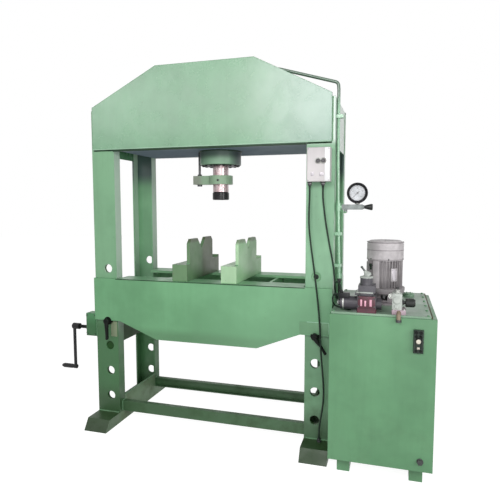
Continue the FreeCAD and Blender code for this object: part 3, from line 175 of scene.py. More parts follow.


def enamel(colour, worn=0.5, grime=1.0, gloss=0.36, edge=0.0022, soot=(60, 66, 46), dusk=0.0,
           gleam=0.5, outline=0.28, sheen=0.14, underside=None, bands=()):
    """Brushed-on machine enamel: uneven tone, orange peel, chipped edges, and dirt that thickens near the floor.
    dusk: painted shade that darkens the coat below the table, more towards the winch's side.
    underside: the colour painted on the faces that look down, as painted shade and reflection.
    bands: stains, painted light and painted shade that set in along an axis, each as axis, start, end, amount and
    colour, followed by an axis and a sign where only the faces that look along it take the colour."""
    g = Coat()
    colour = linear(colour)
    base = g.mix(g.ramp(g.noise(2.3, 4, 0.6), 0.34, 0.68), shade(colour, 0.86), shade(colour, 1.12, 0.012))
    # Brush marks run up and down in the coat.
    brush = g.noise(34, 3, 0.6, stretch=(1.0, 1.0, 0.07))
    base = g.mix(g.ramp(brush, 0.40, 0.75, 0.0, 0.16), base, shade(colour, 0.72))
    # Dust and oil film, heavy low down, blotchy higher up.
    height = g.axis("Z")
    low = g.ramp(height, 0.62, 0.02)
    blotch = g.noise(7.5, 5, 0.65)
    film = g.times(g.ramp(blotch, 0.42, 0.78, 0.18, 1.0), g.times(low, grime))
    base = g.mix(g.times(film, 0.85), base, linear(soot))
    splash = g.ramp(g.noise(19, 5, 0.7), 0.63, 0.78, 0.0, 0.35 * grime)
    base = g.mix(splash, base, shade(colour, 0.52))
    # Painted shade below the table, deeper towards the winch's side.
    if dusk:
        aside = g.ramp(g.axis("X"), 0.55, -0.45, 0.35, 1.0)
        below = g.times(g.ramp(height, 0.66, 0.56, 0.0, dusk), aside)
        base = g.mix(below, base, tuple(v * share for v, share in zip(colour, SHADED_SHARE)))
    if underside:
        base = g.mix(g.facing("Z", -1), base, linear(underside))
    for axis, start, end, amount, stain_and_light, *way in bands:
        share = g.ramp(g.axis(axis), start, end, 0.0, amount)
        if way:
            share = g.times(share, g.facing(*way))
        base = g.mix(share, base, linear(stain_and_light))
    # Chips: dark primer and bare steel along the edges, a few spots on the faces.
    rim = g.edges(edge)
    breakup = g.noise(46, 4, 0.7)
    chipped = g.times(rim, g.ramp(breakup, 0.60 - 0.14 * worn, 0.70 - 0.10 * worn))
    spots = g.ramp(g.noise(62, 2, 0.5), 0.765 - 0.02 * worn, 0.785 - 0.02 * worn)
    wear = g.math("MAXIMUM", chipped, spots)
    bare = g.mix(g.ramp(g.noise(120, 2), 0.4, 0.6), linear((84, 76, 66)), linear((132, 128, 122)))
    rubbed = g.mix(g.times(rim, outline), base, shade(colour, 0.58))
    final = g.mix(g.times(wear, 0.8 * worn), rubbed, bare)
    shine = g.ramp(g.noise(11, 4, 0.6), 0.3, 0.75, gloss - 0.05, gloss + sheen)
    shine = g.math("ADD", shine, g.times(film, 0.30))
    peel = g.math("ADD", g.noise(330, 2, 0.5), g.times(g.noise(26, 2), 1.6))
    g.relief(g.math("SUBTRACT", peel, g.times(wear, 1.2)), 0.0005, 0.32, round_edges=edge * 0.8)
    return g.finish(final, shine, Specular_IOR_Level=gleam)


def worn_steel(paint, bare, worn=0.5, roughness=0.42, metal=0.6, gleam=0.5):
    """Steel under thin paint or scale, rubbed bright along its edges and in patches."""
    g = Coat()
    paint = linear(paint)
    tone = g.noise(16, 5, 0.65)
    base = g.mix(g.ramp(tone, 0.3, 0.72), shade(paint, 0.7), shade(paint, 1.5, 0.006))
    rub = g.times(g.edges(0.0016), g.ramp(g.noise(60, 4, 0.7), 0.45, 0.62))
    patch = g.ramp(g.noise(9, 5, 0.7), 0.66, 0.78, 0.0, 0.5)
    bright = g.times(g.math("MAXIMUM", rub, patch), worn)
    rough = g.ramp(g.noise(45, 4, 0.6), 0.3, 0.7, roughness - 0.08, roughness + 0.16)
    g.relief(g.math("ADD", g.noise(240, 3), g.times(tone, 2.0)), 0.0004, 0.4, round_edges=0.0008)
    return g.finish(g.mix(bright, base, linear(bare)), rough, g.times(g.ramp(bright, 0.1, 0.7, 0.25, 1.0), metal),
                    Specular_IOR_Level=gleam)


def ground_steel(colour, stain_and_light, amount=0.3, roughness=0.25):
    """Turned or ground bar: fine rings, and blots of a second colour here and there: oily stains, and on the ram
    painted reflections.
    """
    g = Coat()
    colour = linear(colour)
    rings = g.noise(22, 3, 0.6, stretch=(1, 1, 34))
    base = g.mix(g.ramp(rings, 0.3, 0.7), shade(colour, 0.82), colour)
    blot = g.ramp(g.noise(13, 5, 0.7, distortion=0.6), 0.5, 0.68, 0.0, amount)
    rough = g.math("ADD", g.ramp(rings, 0.25, 0.75, roughness - 0.04, roughness + 0.1), g.times(blot, 0.5))
    g.relief(rings, 0.0003, 0.35, round_edges=0.0008)
    return g.finish(g.mix(blot, base, linear(stain_and_light)), rough, g.ramp(blot, 0.0, 0.5, 0.95, 0.35))


def moulded(colour, roughness=0.42, dust=0.25, grain=900.0, gleam=0.5):
    """Moulded plastic or rubber with a fine grain, and dust in patches."""
    g = Coat()
    colour = linear(colour)
    tone = g.noise(24, 4, 0.6)
    base = g.mix(g.ramp(tone, 0.3, 0.7), shade(colour, 0.75), shade(colour, 1.3, 0.004))
    film = g.ramp(g.noise(31, 5, 0.7), 0.5, 0.8, 0.0, dust)
    base = g.mix(film, base, linear((128, 122, 112)))
    worn = g.times(g.edges(0.0012), g.ramp(g.noise(75, 3), 0.45, 0.65, 0.0, 0.35))
    base = g.mix(worn, base, shade(colour, 2.4, 0.03))
    rough = g.math("ADD", g.ramp(tone, 0.25, 0.75, roughness - 0.05, roughness + 0.08), g.times(film, 0.5))
    g.relief(g.noise(grain, 2), 0.00025, 0.4, round_edges=0.0007)
    return g.finish(base, rough, Specular_IOR_Level=gleam)


def cast(colour, roughness=0.5, pits=0.3, oil=0.5, soot=(34, 30, 30), low=None):
    """A painted casting: sand-cast grain, soot in its hollows, dark oil where it has run.
    low: the heights between which another tone follows downwards, how much of it, and its colour."""
    g = Coat()
    colour = linear(colour)
    base = g.mix(g.ramp(g.noise(14, 5, 0.65), 0.3, 0.72), shade(colour, 0.78), shade(colour, 1.18, 0.008))
    run = g.ramp(g.noise(24, 5, 0.7, stretch=(1, 1, 0.25)), 0.5, 0.74, 0.0, oil)
    base = g.mix(run, base, linear(soot))
    if low:
        start, end, amount, tone = low
        base = g.mix(g.ramp(g.axis("Z"), start, end, 0.0, amount), base, linear(tone))
    rim = g.times(g.edges(0.0016), g.ramp(g.noise(58, 3), 0.45, 0.66, 0.0, 0.4))
    base = g.mix(rim, base, linear((150, 146, 142)))
    grain = g.math("ADD", g.noise(420, 4, 0.65), g.times(g.noise(60, 3), 0.8))
    g.relief(grain, 0.0006, pits, round_edges=0.001)
    return g.finish(base, g.ramp(grain, 0.5, 1.2, roughness - 0.1, roughness + 0.12))


def glass():
    """A thin clear pane: mostly open, with its reflections and a faint smear."""
    g = Coat()
    tint = (0.96, 0.98, 0.98)
    smear = g.ramp(g.noise(60, 4, 0.6), 0.4, 0.75, 0.02, 0.12)
    g.relief(g.noise(160, 2), 0.0001, 0.1)
    return g.finish(g.mix(g.noise(40, 2), tint, shade(tint, 0.94)), smear, Alpha=0.16)


GREEN = (113, 163, 121)
FLOOR_DIRT = ("Z", 0.26, 0.12, 0.6, (46, 66, 40))
# Faces that look to the right turn paler from half a metre up: painted light.
PAINTED_LIGHT_INNER_SIDE = ("Z", 0.50, 0.70, 0.5, (222, 236, 226), "X", 1)
RUBBED_TOP = ("Z", 1.058, 1.076, 0.6, (74, 66, 50))
MATERIALS = {
    "frame": enamel(GREEN, worn=0.45, dusk=0.65, bands=[FLOOR_DIRT]),
    # The legs' greens are lighter and darker copies of one paint: painted light and shade.
    "leg_front_left": enamel((119, 165, 127), worn=0.45, dusk=0.85, bands=[FLOOR_DIRT, PAINTED_LIGHT_INNER_SIDE]),
    # The rear legs' front faces turn dark blue-grey high up under the crosshead: painted shadow.
    "rear_leg": enamel((130, 184, 140), worn=0.45, dusk=0.8, bands=[
        ("Z", 1.37, 1.48, 0.85, (52, 62, 76), "Y", -1), ("Z", 0.30, 0.12, 0.5, (46, 64, 42)), PAINTED_LIGHT_INNER_SIDE]),
    # From just under the crosshead the right column turns near white: painted light.
    "leg_front_right": enamel((132, 178, 142), dusk=0.85, bands=[("Z", 1.56, 1.60, 0.8, (232, 242, 236)), FLOOR_DIRT]),
    "winch_housing": enamel((84, 146, 98), worn=0.6, dusk=0.8, outline=0.7, edge=0.004),
    # A darker copy of the frame's green: painted shade under the table.
    "winch_carrier": enamel((64, 104, 58), grime=0.5, dusk=0.8, gleam=0.12),
    # The crosshead's front face turns blue-grey towards the right: painted reflection. Its right end's outer faces turn
    # near white: painted light.
    "head": enamel((99, 151, 112), worn=0.3, grime=0.5, gloss=0.27, gleam=1.0, edge=0.005, outline=0.8, sheen=0.03,
                   bands=[("X", 0.10, 0.55, 0.6, (104, 138, 126), "Y", -1),
                          ("X", 0.55, 0.56, 0.7, (226, 236, 230), "X", 1)]),
    # Its down-facing faces are blue-grey, paler towards the right: painted shade and reflection.
    "crosshead_floor": enamel((100, 142, 108), worn=0.2, grime=0.4, gloss=0.7, gleam=0.1, underside=(150, 163, 182),
                              bands=[("X", -0.1, 0.45, 0.6, (196, 204, 216), "Z", -1)]),
    # Its front face turns paler towards the right: painted light. It also darkens towards its lower edge.
    "table_front_beam": enamel((107, 164, 118), grime=0.25, outline=0.6, bands=[
        ("Z", 0.60, 0.545, 0.4, (64, 92, 62)), ("X", -0.5, 0.5, 0.28, (152, 202, 164), "Y", -1)]),
    # A paler copy of the table's green: painted light on the table's inner faces.
    "table_rear": enamel((142, 196, 150), grime=0.25),
    # Painted highlight: the pale strip along the crosshead's lower edge.
    "pale": enamel((150, 188, 160), worn=0.3, grime=0.1, edge=0.001),
    "doubler": enamel((118, 166, 126), worn=0.7, grime=0.25, outline=0.6),
    # Painted highlights on the table doubler's top and right edges.
    "mint": enamel((164, 214, 180), worn=0.3, grime=0.1),
    "beige": enamel((128, 142, 112), worn=0.8, grime=0.6),
    # Its left end turns grey: painted shade.
    "ram_arm": enamel((136, 166, 136), worn=1.0, grime=0.9, soot=(70, 84, 66), outline=0.7,
                      bands=[("X", -0.190, -0.240, 0.7, (120, 116, 110))]),
    # The V-blocks' greens are a darker and a lighter copy of one paint: painted shade on the left block, painted light
    # on the right, whose faces that look to the right also turn paler high up.
    "v_block_left": enamel((98, 132, 94), worn=0.9, grime=0.6, edge=0.004, soot=(70, 80, 62),
                           bands=[("Y", -0.02, 0.04, 0.5, (92, 78, 66), "X", 1), RUBBED_TOP]),
    "v_block_right": enamel((172, 208, 168), worn=0.9, grime=0.6, edge=0.004, soot=(70, 80, 62),
                            bands=[("Z", 0.80, 0.81, 0.6, (154, 206, 152), "X", 1), RUBBED_TOP]),
    "tank_body": enamel((92, 143, 102), worn=0.35, grime=0.3, gloss=0.33),
    "tank_lid": enamel((128, 158, 134), worn=0.35, grime=0.3, gloss=0.33, outline=0.6),
    "seal": moulded((66, 66, 42), 0.55, dust=0.05, gleam=0.2),
    # Its faces that look to the left darken from about 1.5 m up: painted shade. The whole pipe also darkens above about
    # 1.8 m.
    "pipe": enamel((136, 184, 148), grime=0.3, gloss=0.24, edge=0.0008, gleam=1.0, bands=[
        ("Z", 1.74, 1.84, 0.85, (66, 86, 72)), ("Z", 1.45, 1.55, 0.8, (70, 96, 78), "X", -1)]),
    # Its faces that look to the right turn paler low down: painted light. Its up-facing faces turn darker: painted
    # shade against the light from above.
    "foot": enamel((96, 132, 94), worn=0.8, grime=1.5, soot=(66, 66, 46), bands=[
        ("Y", -0.17, -0.25, 0.9, (24, 46, 16)), ("Z", 0.2, 0.1, 0.25, (150, 184, 144), "X", 1),
        ("Z", 0.0, 0.1, 0.6, (58, 92, 50), "Z", 1)]),
    # The barrel darkens to grey on its right side: painted shade; and just under the crosshead: painted shadow.
    "cylinder": enamel((130, 168, 138), grime=0.8, bands=[
        ("X", -0.030, 0.014, 0.8, (96, 98, 106)), ("Z", 1.525, 1.560, 0.8, (50, 62, 66))]),
    # Dark welds, and the dark bar under the crosshead's front edge, which is painted shade.
    "dark_seam_and_shade": enamel((20, 50, 28), worn=0.3, grime=0.5, edge=0.0012, gleam=0.2),
    "bead": enamel((104, 152, 112), worn=0.7, grime=0.8, edge=0.0012),
    # The ram's dark red blots are painted reflections.
    "ram": ground_steel((190, 172, 174), (132, 34, 46), amount=0.9, roughness=0.24),
    "ram_guide_rod": ground_steel((84, 84, 86), (46, 42, 40), amount=0.6),
    "ram_nose": worn_steel((5, 5, 8), (110, 106, 104), worn=0.2, roughness=0.2, metal=0.1, gleam=0.3),
    "pin": worn_steel((6, 12, 8), (78, 80, 72), worn=0.3, metal=0.1, gleam=0.14),
    "winch_crank": worn_steel((20, 21, 22), (104, 98, 90), worn=0.45, metal=0.4, gleam=0.3),
    "crank_grip": moulded((24, 24, 25), 0.45, gleam=0.3),
    "knob": moulded((18, 22, 20), 0.38, gleam=0.3),
    "gauge_case": moulded((14, 14, 18), 0.32, dust=0.06, gleam=0.25),
    "bezel": moulded((5, 5, 9), 0.34, dust=0.02, gleam=0.12),
    "box": enamel((204, 199, 200), worn=0.15, grime=0.0, gloss=0.34, edge=0.0012, soot=(150, 144, 138)),
    # Near white: a painted highlight on the control box's right edge.
    "strip": enamel((242, 242, 244), worn=0.05, grime=0.0, gloss=0.3, edge=0.0006),
    "button": moulded((66, 62, 66), 0.3, dust=0.15),
    "gauge_needle": moulded((16, 16, 17), 0.4, dust=0.0),
    "motor_body": cast((164, 159, 161), pits=0.45, oil=0.22, soot=(100, 94, 94),
                       low=(0.935, 0.865, 0.45, (92, 88, 90))),
    "motor_cowl": cast((188, 183, 185), 0.44, pits=0.2, oil=0.12, soot=(140, 132, 132)),
    "cowl_dark": cast((150, 144, 147), oil=0.4, soot=(96, 90, 90)),
    "motor_rotor": ground_steel((140, 140, 142), (70, 66, 62)),
    "bellhousing": cast((132, 124, 128), pits=0.6, oil=0.6, soot=(44, 40, 42)),
    "pump": cast((64, 54, 56), 0.6, pits=0.6),
    "manifold": cast((74, 21, 37), 0.42, oil=0.75, soot=(34, 22, 28)),
    "solenoid_valve": cast((44, 40, 48), 0.4, pits=0.25, soot=(18, 16, 20)),
    "lever_valve": cast((74, 72, 78), 0.42, oil=0.6, soot=(20, 20, 24)),
    "valve_lever": ground_steel((84, 88, 86), (44, 44, 42), amount=0.6, roughness=0.4),
    "relief_block": cast((182, 188, 182), 0.45, oil=0.8, soot=(84, 86, 82)),
    "relief_low": cast((168, 148, 158), 0.45, oil=0.8, soot=(72, 58, 62)),
    "elbow": cast((138, 122, 102), 0.45, pits=0.4, oil=0.7, soot=(58, 50, 40)),
    "zinc": ground_steel((176, 178, 174), (104, 92, 84), amount=0.5, roughness=0.38),
    "bolt": worn_steel((60, 62, 62), (160, 158, 152), worn=0.7, metal=0.9),
    "cable": moulded((28, 44, 34), 0.5, dust=0.12, gleam=0.2),
    "valve_hose": moulded((22, 28, 25), 0.5, dust=0.2, grain=700, gleam=0.25),
    "level_gauge": moulded((26, 40, 32), 0.35, dust=0.15, gleam=0.3),
    "plate": ground_steel((164, 160, 164), (110, 106, 108), roughness=0.4),
    "gland": moulded((52, 54, 56), 0.4, dust=0.3),
    "dial": moulded((210, 212, 218), 0.35, dust=0.05, grain=400),
    "ink": moulded((20, 20, 24), 0.4, dust=0.0),
    "window": moulded((196, 190, 176), 0.2, dust=0.15, grain=300),
    "rose": moulded((214, 158, 176), 0.4, dust=0.2),
    "gauge_block": worn_steel((120, 126, 124), (176, 176, 172), worn=0.6, metal=0.7),
    "gauge_glass": glass(),
}

# A node takes the material of its own name, or one that it shares.
SHARED = {
    "frame": "stretcher_front stretcher_rear", "rear_leg": "leg_rear_left leg_rear_right",
    "head": "crosshead_front_plate crosshead_rear_plate crosshead_end_plate_left crosshead_end_plate_right",
    "table_rear": "table_rear_beam table_cross_member_left table_cross_member_right",
    "foot": "foot_left foot_right", "pipe": "pressure_pipe pipe_clamps", "cylinder": "cylinder_barrel cylinder_cap",
    "pin": "locking_pin_left locking_pin_right winch_drum", "box": "control_box control_box_cover",
    "button": "push_button_left push_button_right", "knob": "isolator_knob relief_knob",
    "cable": "control_cable motor_cable",
}

for key, material in MATERIALS.items():
    material.name = key
    for name in SHARED.get(key, key).split():
        if name in nodes:
            mesh = nodes[name].data
            mesh.materials.clear()
            mesh.materials.append(material)


# ---- mesh pieces
def spread(count, more=0):
    """Angles evenly round a circle; more: how many to go on past the start."""
    return [2 * math.pi * k / count for k in range(count + more)]


def lean(angle):
    """The way up, leaning to the right by an angle."""
    return Vector((math.sin(angle), 0, math.cos(angle)))


UP, FRONT, BACK = Vector((0, 0, 1)), Vector((0, -1, 0)), Vector((0, 1, 0))
LEFT, RIGHT, DOWN = Vector((-1, 0, 0)), Vector((1, 0, 0)), Vector((0, 0, -1))


class Form:
    """Gathers shapes given in press millimetres and hands them over as one piece."""

    def __init__(self):
        self.mesh = bmesh.new()

    def round(self, centre, side, across, radius, steps, turn=0.0):
        """A ring of corners in the plane that side and across span."""
        return [self.mesh.verts.new(at(*(centre + (side * math.cos(a) + across * math.sin(a)) * radius)))
                for a in (turn + angle for angle in spread(steps))]

    def ring(self, centre, axis, radius, steps, turn=0.0):
        """A ring about an axis, or a single point where the radius is 0."""
        if radius == 0:
            return [self.mesh.verts.new(at(*centre))]
        axis = Vector(axis).normalized()
        upright = abs(axis.z) > 0.9
        side = RIGHT if upright else axis.orthogonal().normalized()
        return self.round(Vector(centre), side, axis.cross(side), radius, steps, turn)

    def join(self, first, second):
        """Faces between two rings, either of which may be a single point."""
        count = max(len(first), len(second))
        for index in range(count if count > 1 else 0):
            after = (index + 1) % count
            if len(first) == 1:
                self.mesh.faces.new((first[0], second[index], second[after]))
            elif len(second) == 1:
                self.mesh.faces.new((first[index], first[after], second[0]))
            else:
                self.mesh.faces.new((first[index], first[after], second[after], second[index]))

    def skin(self, rings):
        """A row of rings joined and closed at both ends."""
        for first, second in zip(rings, rings[1:]):
            self.join(first, second)
        for ring in (rings[0], rings[-1]):
            if len(ring) > 2:
                self.mesh.faces.new(ring)
        return self

    def turned(self, origin, axis, profile, steps, turn=0.0):
        origin, axis = Vector(origin), Vector(axis).normalized()
        return [self.ring(origin + axis * along, axis, radius, steps, turn) for radius, along in profile]

    def lathe(self, origin, axis, profile, steps=28, turn=0.0):
        """profile: (radius, distance along axis) from one end to the other."""
        return self.skin(self.turned(origin, axis, profile, steps, turn))

    def collar(self, origin, axis, profile, steps=28):
        """A turned ring: its profile closes round a bore."""
        rings = self.turned(origin, axis, profile, steps)
        for first, second in zip(rings, rings[1:] + rings[:1]):
            self.join(first, second)
        return self

    def prism(self, outline, depth, chamfer, segments=2):
        """outline: corners in space; depth: a vector."""
        low = [self.mesh.verts.new(at(*corner)) for corner in outline]
        high = [self.mesh.verts.new(at(*(Vector(corner) + Vector(depth)))) for corner in outline]
        faces = [self.mesh.faces.new(low), self.mesh.faces.new(high)]
        count = len(low)
        for index in range(count):
            after = (index + 1) % count
            faces.append(self.mesh.faces.new((low[index], low[after], high[after], high[index])))
        if chamfer:
            edges = {edge for face in faces for edge in face.edges}
            bmesh.ops.bevel(self.mesh, geom=list(edges), offset=chamfer * MM, segments=segments, profile=0.6,
                            affect="EDGES", clamp_overlap=True)
        return self

    def block(self, low, high, chamfer):
        (x0, y0, z0), (x1, y1, z1) = low, high
        return self.prism([(x0, y0, z0), (x1, y0, z0), (x1, y1, z0), (x0, y1, z0)], (0, 0, z1 - z0), chamfer)

    def hexagon(self, origin, axis, across, height, washer=True):
        """A hexagon head or nut, by its size across the flats, on a washer or without one."""
        corner = across / math.sqrt(3)
        base = across * 0.12 if washer else 0.0
        if washer:
            self.lathe(origin, axis, [(across * 0.62, -1.0), (across * 0.62, base * 0.8), (across * 0.58, base)], 24)
        return self.lathe(origin, axis, [(corner, base - 0.5), (corner, height - across * 0.08),
                                         (corner * 0.86, height), (0, height + across * 0.02)], 6, 0.3)

    def socket(self, origin, axis, radius, height):
        """A cap screw with a socket in its head."""
        return self.lathe(origin, axis, [(radius, -1), (radius, height * 0.85), (radius * 0.88, height),
                                         (radius * 0.52, height), (radius * 0.5, height * 0.5),
                                         (0, height * 0.45)], 14)

    def screw(self, origin, axis, radius, height):
        """A pan head with a dished middle."""
        return self.lathe(origin, axis, [(radius, -0.5), (radius, height * 0.4), (radius * 0.8, height * 0.9),
                                         (radius * 0.35, height), (radius * 0.2, height * 0.6), (0, height * 0.55)], 12)

    def seam(self, x, y, z, radius):
        """A straight weld bead along the axis whose coordinate is a pair."""
        return self.bead(list(zip(*(v if isinstance(v, tuple) else (v, v) for v in (x, y, z)))), radius)

    def bead(self, points, radius):
        """A weld bead: overlapping ripples of uneven height along a line."""
        points = [Vector(point) for point in points]
        for start, end in zip(points, points[1:]):
            run = end - start
            count = max(2, int(run.length / (radius * 0.9)))
            rings = []
            for index in range(count + 1):
                wave = 1.0 + (0.16 if index % 2 else -0.10) + random.uniform(-0.10, 0.10)
                centre = start + run * (index / count)
                centre += Vector([random.uniform(-0.4, 0.4) for _ in range(3)])
                rings.append(self.ring(centre, run.normalized(), radius * wave, 7))
            self.skin(rings)
        return self

    def tube(self, points, radius, steps, corner):
        """A round bar along a route; corner: how far before a corner its curve starts."""
        path = soften([Vector(point) for point in points], corner)
        rings = []
        side = (path[1] - path[0]).normalized().orthogonal().normalized()
        for index, spot in enumerate(path):
            ahead = path[min(index + 1, len(path) - 1)] - path[max(index - 1, 0)]
            ahead.normalize()
            side = (side - ahead * side.dot(ahead)).normalized()
            rings.append(self.round(spot, side, ahead.cross(side), radius, steps))
        return self.skin(rings)

    def figures(self, text, centre, size):
        """Plain figures lying on the dial, facing the front."""
        curve = fit(bpy.data.curves.new("figures", "FONT"), body=text, size=size * MM, align_x="CENTER",
                    align_y="CENTER", extrude=0.04 * MM, offset=0.12 * MM)
        item = placed("figures", curve)
        data = bpy.data.meshes.new_from_object(item.evaluated_get(bpy.context.evaluated_depsgraph_get()))
        data.transform(Matrix.Translation(at(*centre)) @ Matrix.Rotation(math.radians(90), 4, "X"))
        self.mesh.from_mesh(data)
        bpy.data.meshes.remove(data)
        bpy.data.objects.remove(item)
        bpy.data.curves.remove(curve)
        return self

    def piece(self, name, material, body="frame", smooth=32):
        """Ends the form: a piece in its material that rides a body, smooth but for edges above an angle."""
        bmesh.ops.recalc_face_normals(self.mesh, faces=self.mesh.faces)
        data = bpy.data.meshes.new(name)
        self.mesh.to_mesh(data)
        self.mesh.free()
        data.shade_smooth()
        data.set_sharp_from_angle(angle=math.radians(smooth))
        data.materials.append(MATERIALS[material])
        item = placed(name, data)
        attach(item, body)
        return item


def soften(points, reach):
    """The route with every corner replaced by a short curve."""
    path = [points[0]]
    for before, corner, after in zip(points, points[1:], points[2:]):
        back, ahead = before - corner, after - corner
        pull = min(reach, back.length * 0.48, ahead.length * 0.48)
        first, last = corner + back.normalized() * pull, corner + ahead.normalized() * pull
        for step in range(6):
            share = step / 5
            path.append(first * (1 - share) ** 2 + corner * 2 * share * (1 - share) + last * share ** 2)
    path.append(points[-1])
    return path


# Places that several pieces share: the cylinder's and the columns' middles, and faces that pieces lie on.
BARREL_Y = 250
COLUMN_X = 600
HOLES_Z = [160 + 150 * k for k in range(6)]
UNDER_HEAD, ON_HEAD_FLOOR = 1578.5, 1601.5
LID_Z = 780
BOX_FACE = -60
PIN_Z = 608.3
SIDES = (-1, 1)


# ---- welds
def circle(z, radius):
    """Points of a round seam about the cylinder's axis."""
    return [(radius * math.cos(a), BARREL_Y + radius * math.sin(a), z) for a in spread(36, 1)]


def weld_beads():
    form = Form()
    for side, y in product(SIDES, (-1.5, 501.5)):
        form.seam((side * 547, side * 669), y, UNDER_HEAD, 4)
    form.bead(circle(UNDER_HEAD, 119.5), 4.5)
    # A dark bar under the front plate's lower edge: painted shade.
    form.block((-544, -14, 1570), (544, -3, 1580.2), 1.5)
    form.piece("crosshead_foot_seams_and_shade", "dark_seam_and_shade")
    # A pale strip along the front plate's lower edge: a painted highlight.
    Form().block((-669, -17.3, 1580.6), (669, -15.6, 1586.2), 0.6).piece("crosshead_edge_strip", "pale")

    form = Form()
    for side in SIDES:
        for y in (-1.5, 501.5):
            form.seam(side * 671.5, y, (1584, 1798), 4)
            form.seam((side * 550, side * 683), y, 61.5, 4)
        for y in (60, 440):
            form.seam(side * 685, y, (1563, 1797), 3)
    form.piece("frame_weld_beads", "bead")

    form = Form()
    for y in (1.5, 498.5):
        for span in ((-540, -161), (-141, 141), (161, 540)):
            form.seam(span, y, ON_HEAD_FLOOR, 4)
        for x in (-159.5, -141.5, 141.5, 159.5):
            form.seam(x, y, (1606, 1936), 3.5)
    form.bead(circle(ON_HEAD_FLOOR, 119.5), 4.5)
    form.piece("crosshead_inner_beads", "bead")

    form = Form()
    for x in (-543.5, 543.5):
        for web, out in ((30, -1), (470, 1)):
            form.seam(x, web + out, (64, 121), 3.2)
            form.seam(x, (web, web - out * 28), 122.5, 3)
        form.seam(x * 1.001, (62, 438), 150.5, 2.5)
    form.seam(-685, -0.5, (510, 638), 3)
    for z in (641.5, 506.5):
        form.seam(-686.5, (2, 56), z, 3)
    form.piece("stretcher_and_winch_beads", "bead")

    form = Form()
    for x, y in product((-317.5, -298.5, 298.5, 317.5), (0.5, 499.5)):
        form.seam(x, y, (614, 836), 3.5)
    for y in (0, 500):
        form.seam((-500, 500), y, 838.5, 3.5)
        form.seam((-288, 288), y, 536.5, 3.5)
    form.piece("table_weld_beads", "bead", "table")

    for word, left in (("left", -126), ("right", 158)):
        form = Form().seam(left - 1.5, (42, 388), 948.5, 3.6)
        for y in (38.5, 391.5):
            form.seam((left + 1, left + 16), y, 948.5, 3.4)
        form.piece(f"v_block_{word}_beads", "bead", "table")


# ---- crosshead and cylinder
def cylinder_details():
    (Form().hexagon((0, BARREL_Y, 1959), UP, 34, 22, washer=False)
     .lathe((0, BARREL_Y, 1978), UP, [(13, 0), (13, 6), (9, 11), (8.2, 11)], 24)
     .piece("port_union_nut", "zinc"))
    form = Form().collar((0, BARREL_Y, 1500), DOWN, [(112, -1), (112, 2.4), (110.5, 3.5), (49, 3.5), (46.5, 2),
                                                     (46.5, -1)], 64)
    for k in range(16):
        angle = math.radians(22.5 * k + 8)
        form.socket((100 * math.cos(angle), BARREL_Y + 100 * math.sin(angle), 1496.6), DOWN, 8, 3.2)
    form.piece("rod_gland_ring", "pin")
    # The clamping screw in the arm's collar and the nut on the guide rod.
    (Form().socket((7.6, 180.6, 1414), FRONT, 6, 5)
     .lathe((-131, BARREL_Y, 1442), UP, [(14, 0), (14, 8), (12, 10), (8, 10)], 6)
     .piece("ram_arm_screws", "bolt", "ram"))
    Form().hexagon((674, 516, 1803), FRONT, 17, 10).piece("rear_plate_bolt", "bolt")


def leg_details():
    """Sleeves behind the pin holes of the front columns and discs in unused holes, whose darker green and dark centre
    are painted shade in the holes; plates and pin grips.
    """
    # Sleeves in the darker under-table green: painted shade behind the holes.
    form = Form()
    for side, z in product(SIDES, HOLES_Z):
        form.collar((side * COLUMN_X, 7.9, z), BACK, [(25.4, 0), (25.4, 14), (28, 14), (31, 11.5), (31, 0)], 36)
    form.piece("pin_hole_sleeves", "winch_carrier")
    # A green disc in one hole, and a darker one deep in the left hole: painted shade.
    for name, material, spot, flat, end in (
            ("pin_hole_plug", "frame", (COLUMN_X, 3, HOLES_Z[5]), 21, 20.8),
            ("pin_hole_dark_plug", "winch_carrier", (-COLUMN_X, 6, HOLES_Z[2]), 20, 17.8)):
        Form().lathe(spot, BACK, [(0, 0.6), (flat, 0.6), (23.4, 0), (25, 1.2), (25, 12), (27.6, end),
                                  (0, end + 0.4)], 36).piece(name, material)
    # The disc's dark centre: painted shade in the hole.
    (Form().lathe((COLUMN_X, 3.2, HOLES_Z[5]), FRONT, [(13, -0.5), (13, 1.2), (10, 2.2), (0, 2.4)], 28)
     .piece("pin_hole_plug_centre", "cable"))
    # A beige plate on the left column beside the pin.
    Form().block((-590, -2.2, 514), (-550, -0.2, 604), 0.7).piece("pin_beige_plate", "beige")
    # A thin dark strip along the top of the table's front face.
    Form().block((-545, -17.9, 850.4), (545, -16.5, 854.6), 0.4).piece("table_top_edge_dark_strip", "dark_seam_and_shade", "table")
    Form().block((520, -19.6, 618), (676, -17.2, 680), 1.2).piece("table_doubler", "doubler", "table")
    # Pale strips on the doubler's top and right edges: painted highlights.
    (Form().block((558, -20.2, 678), (676, -17.2, 683), 1.2).block((668, -20.2, 622), (672, -17.2, 678), 1.2)
     .piece("table_doubler_edges", "mint", "table"))
    # A tapered grip over each pin's handle, where it leaves the bar.
    for word, side, angle, profile in (
            ("left", -1, 0, [(12.5, 0), (12.5, 10), (10.5, 36), (8.4, 62), (7.7, 90), (8.4, 98), (7.6, 103), (0, 104)]),
            ("right", 1, 33, [(14, 0), (14, 9), (12, 22), (9, 40), (7.6, 43), (6, 43)])):
        x = side * COLUMN_X
        down = Vector((math.sin(math.radians(angle)), 0, -math.cos(math.radians(angle))))
        (Form().lathe(Vector((x, -32.5, PIN_Z)) + down * 4, down, profile, 24)
         .lathe((x, -36, PIN_Z), FRONT, [(17.3, -12), (17.3, 3), (14, 5.5), (0, 6)], 28)
         .piece(f"pin_{word}_grip", "pin", f"locking_pin_{word}"))


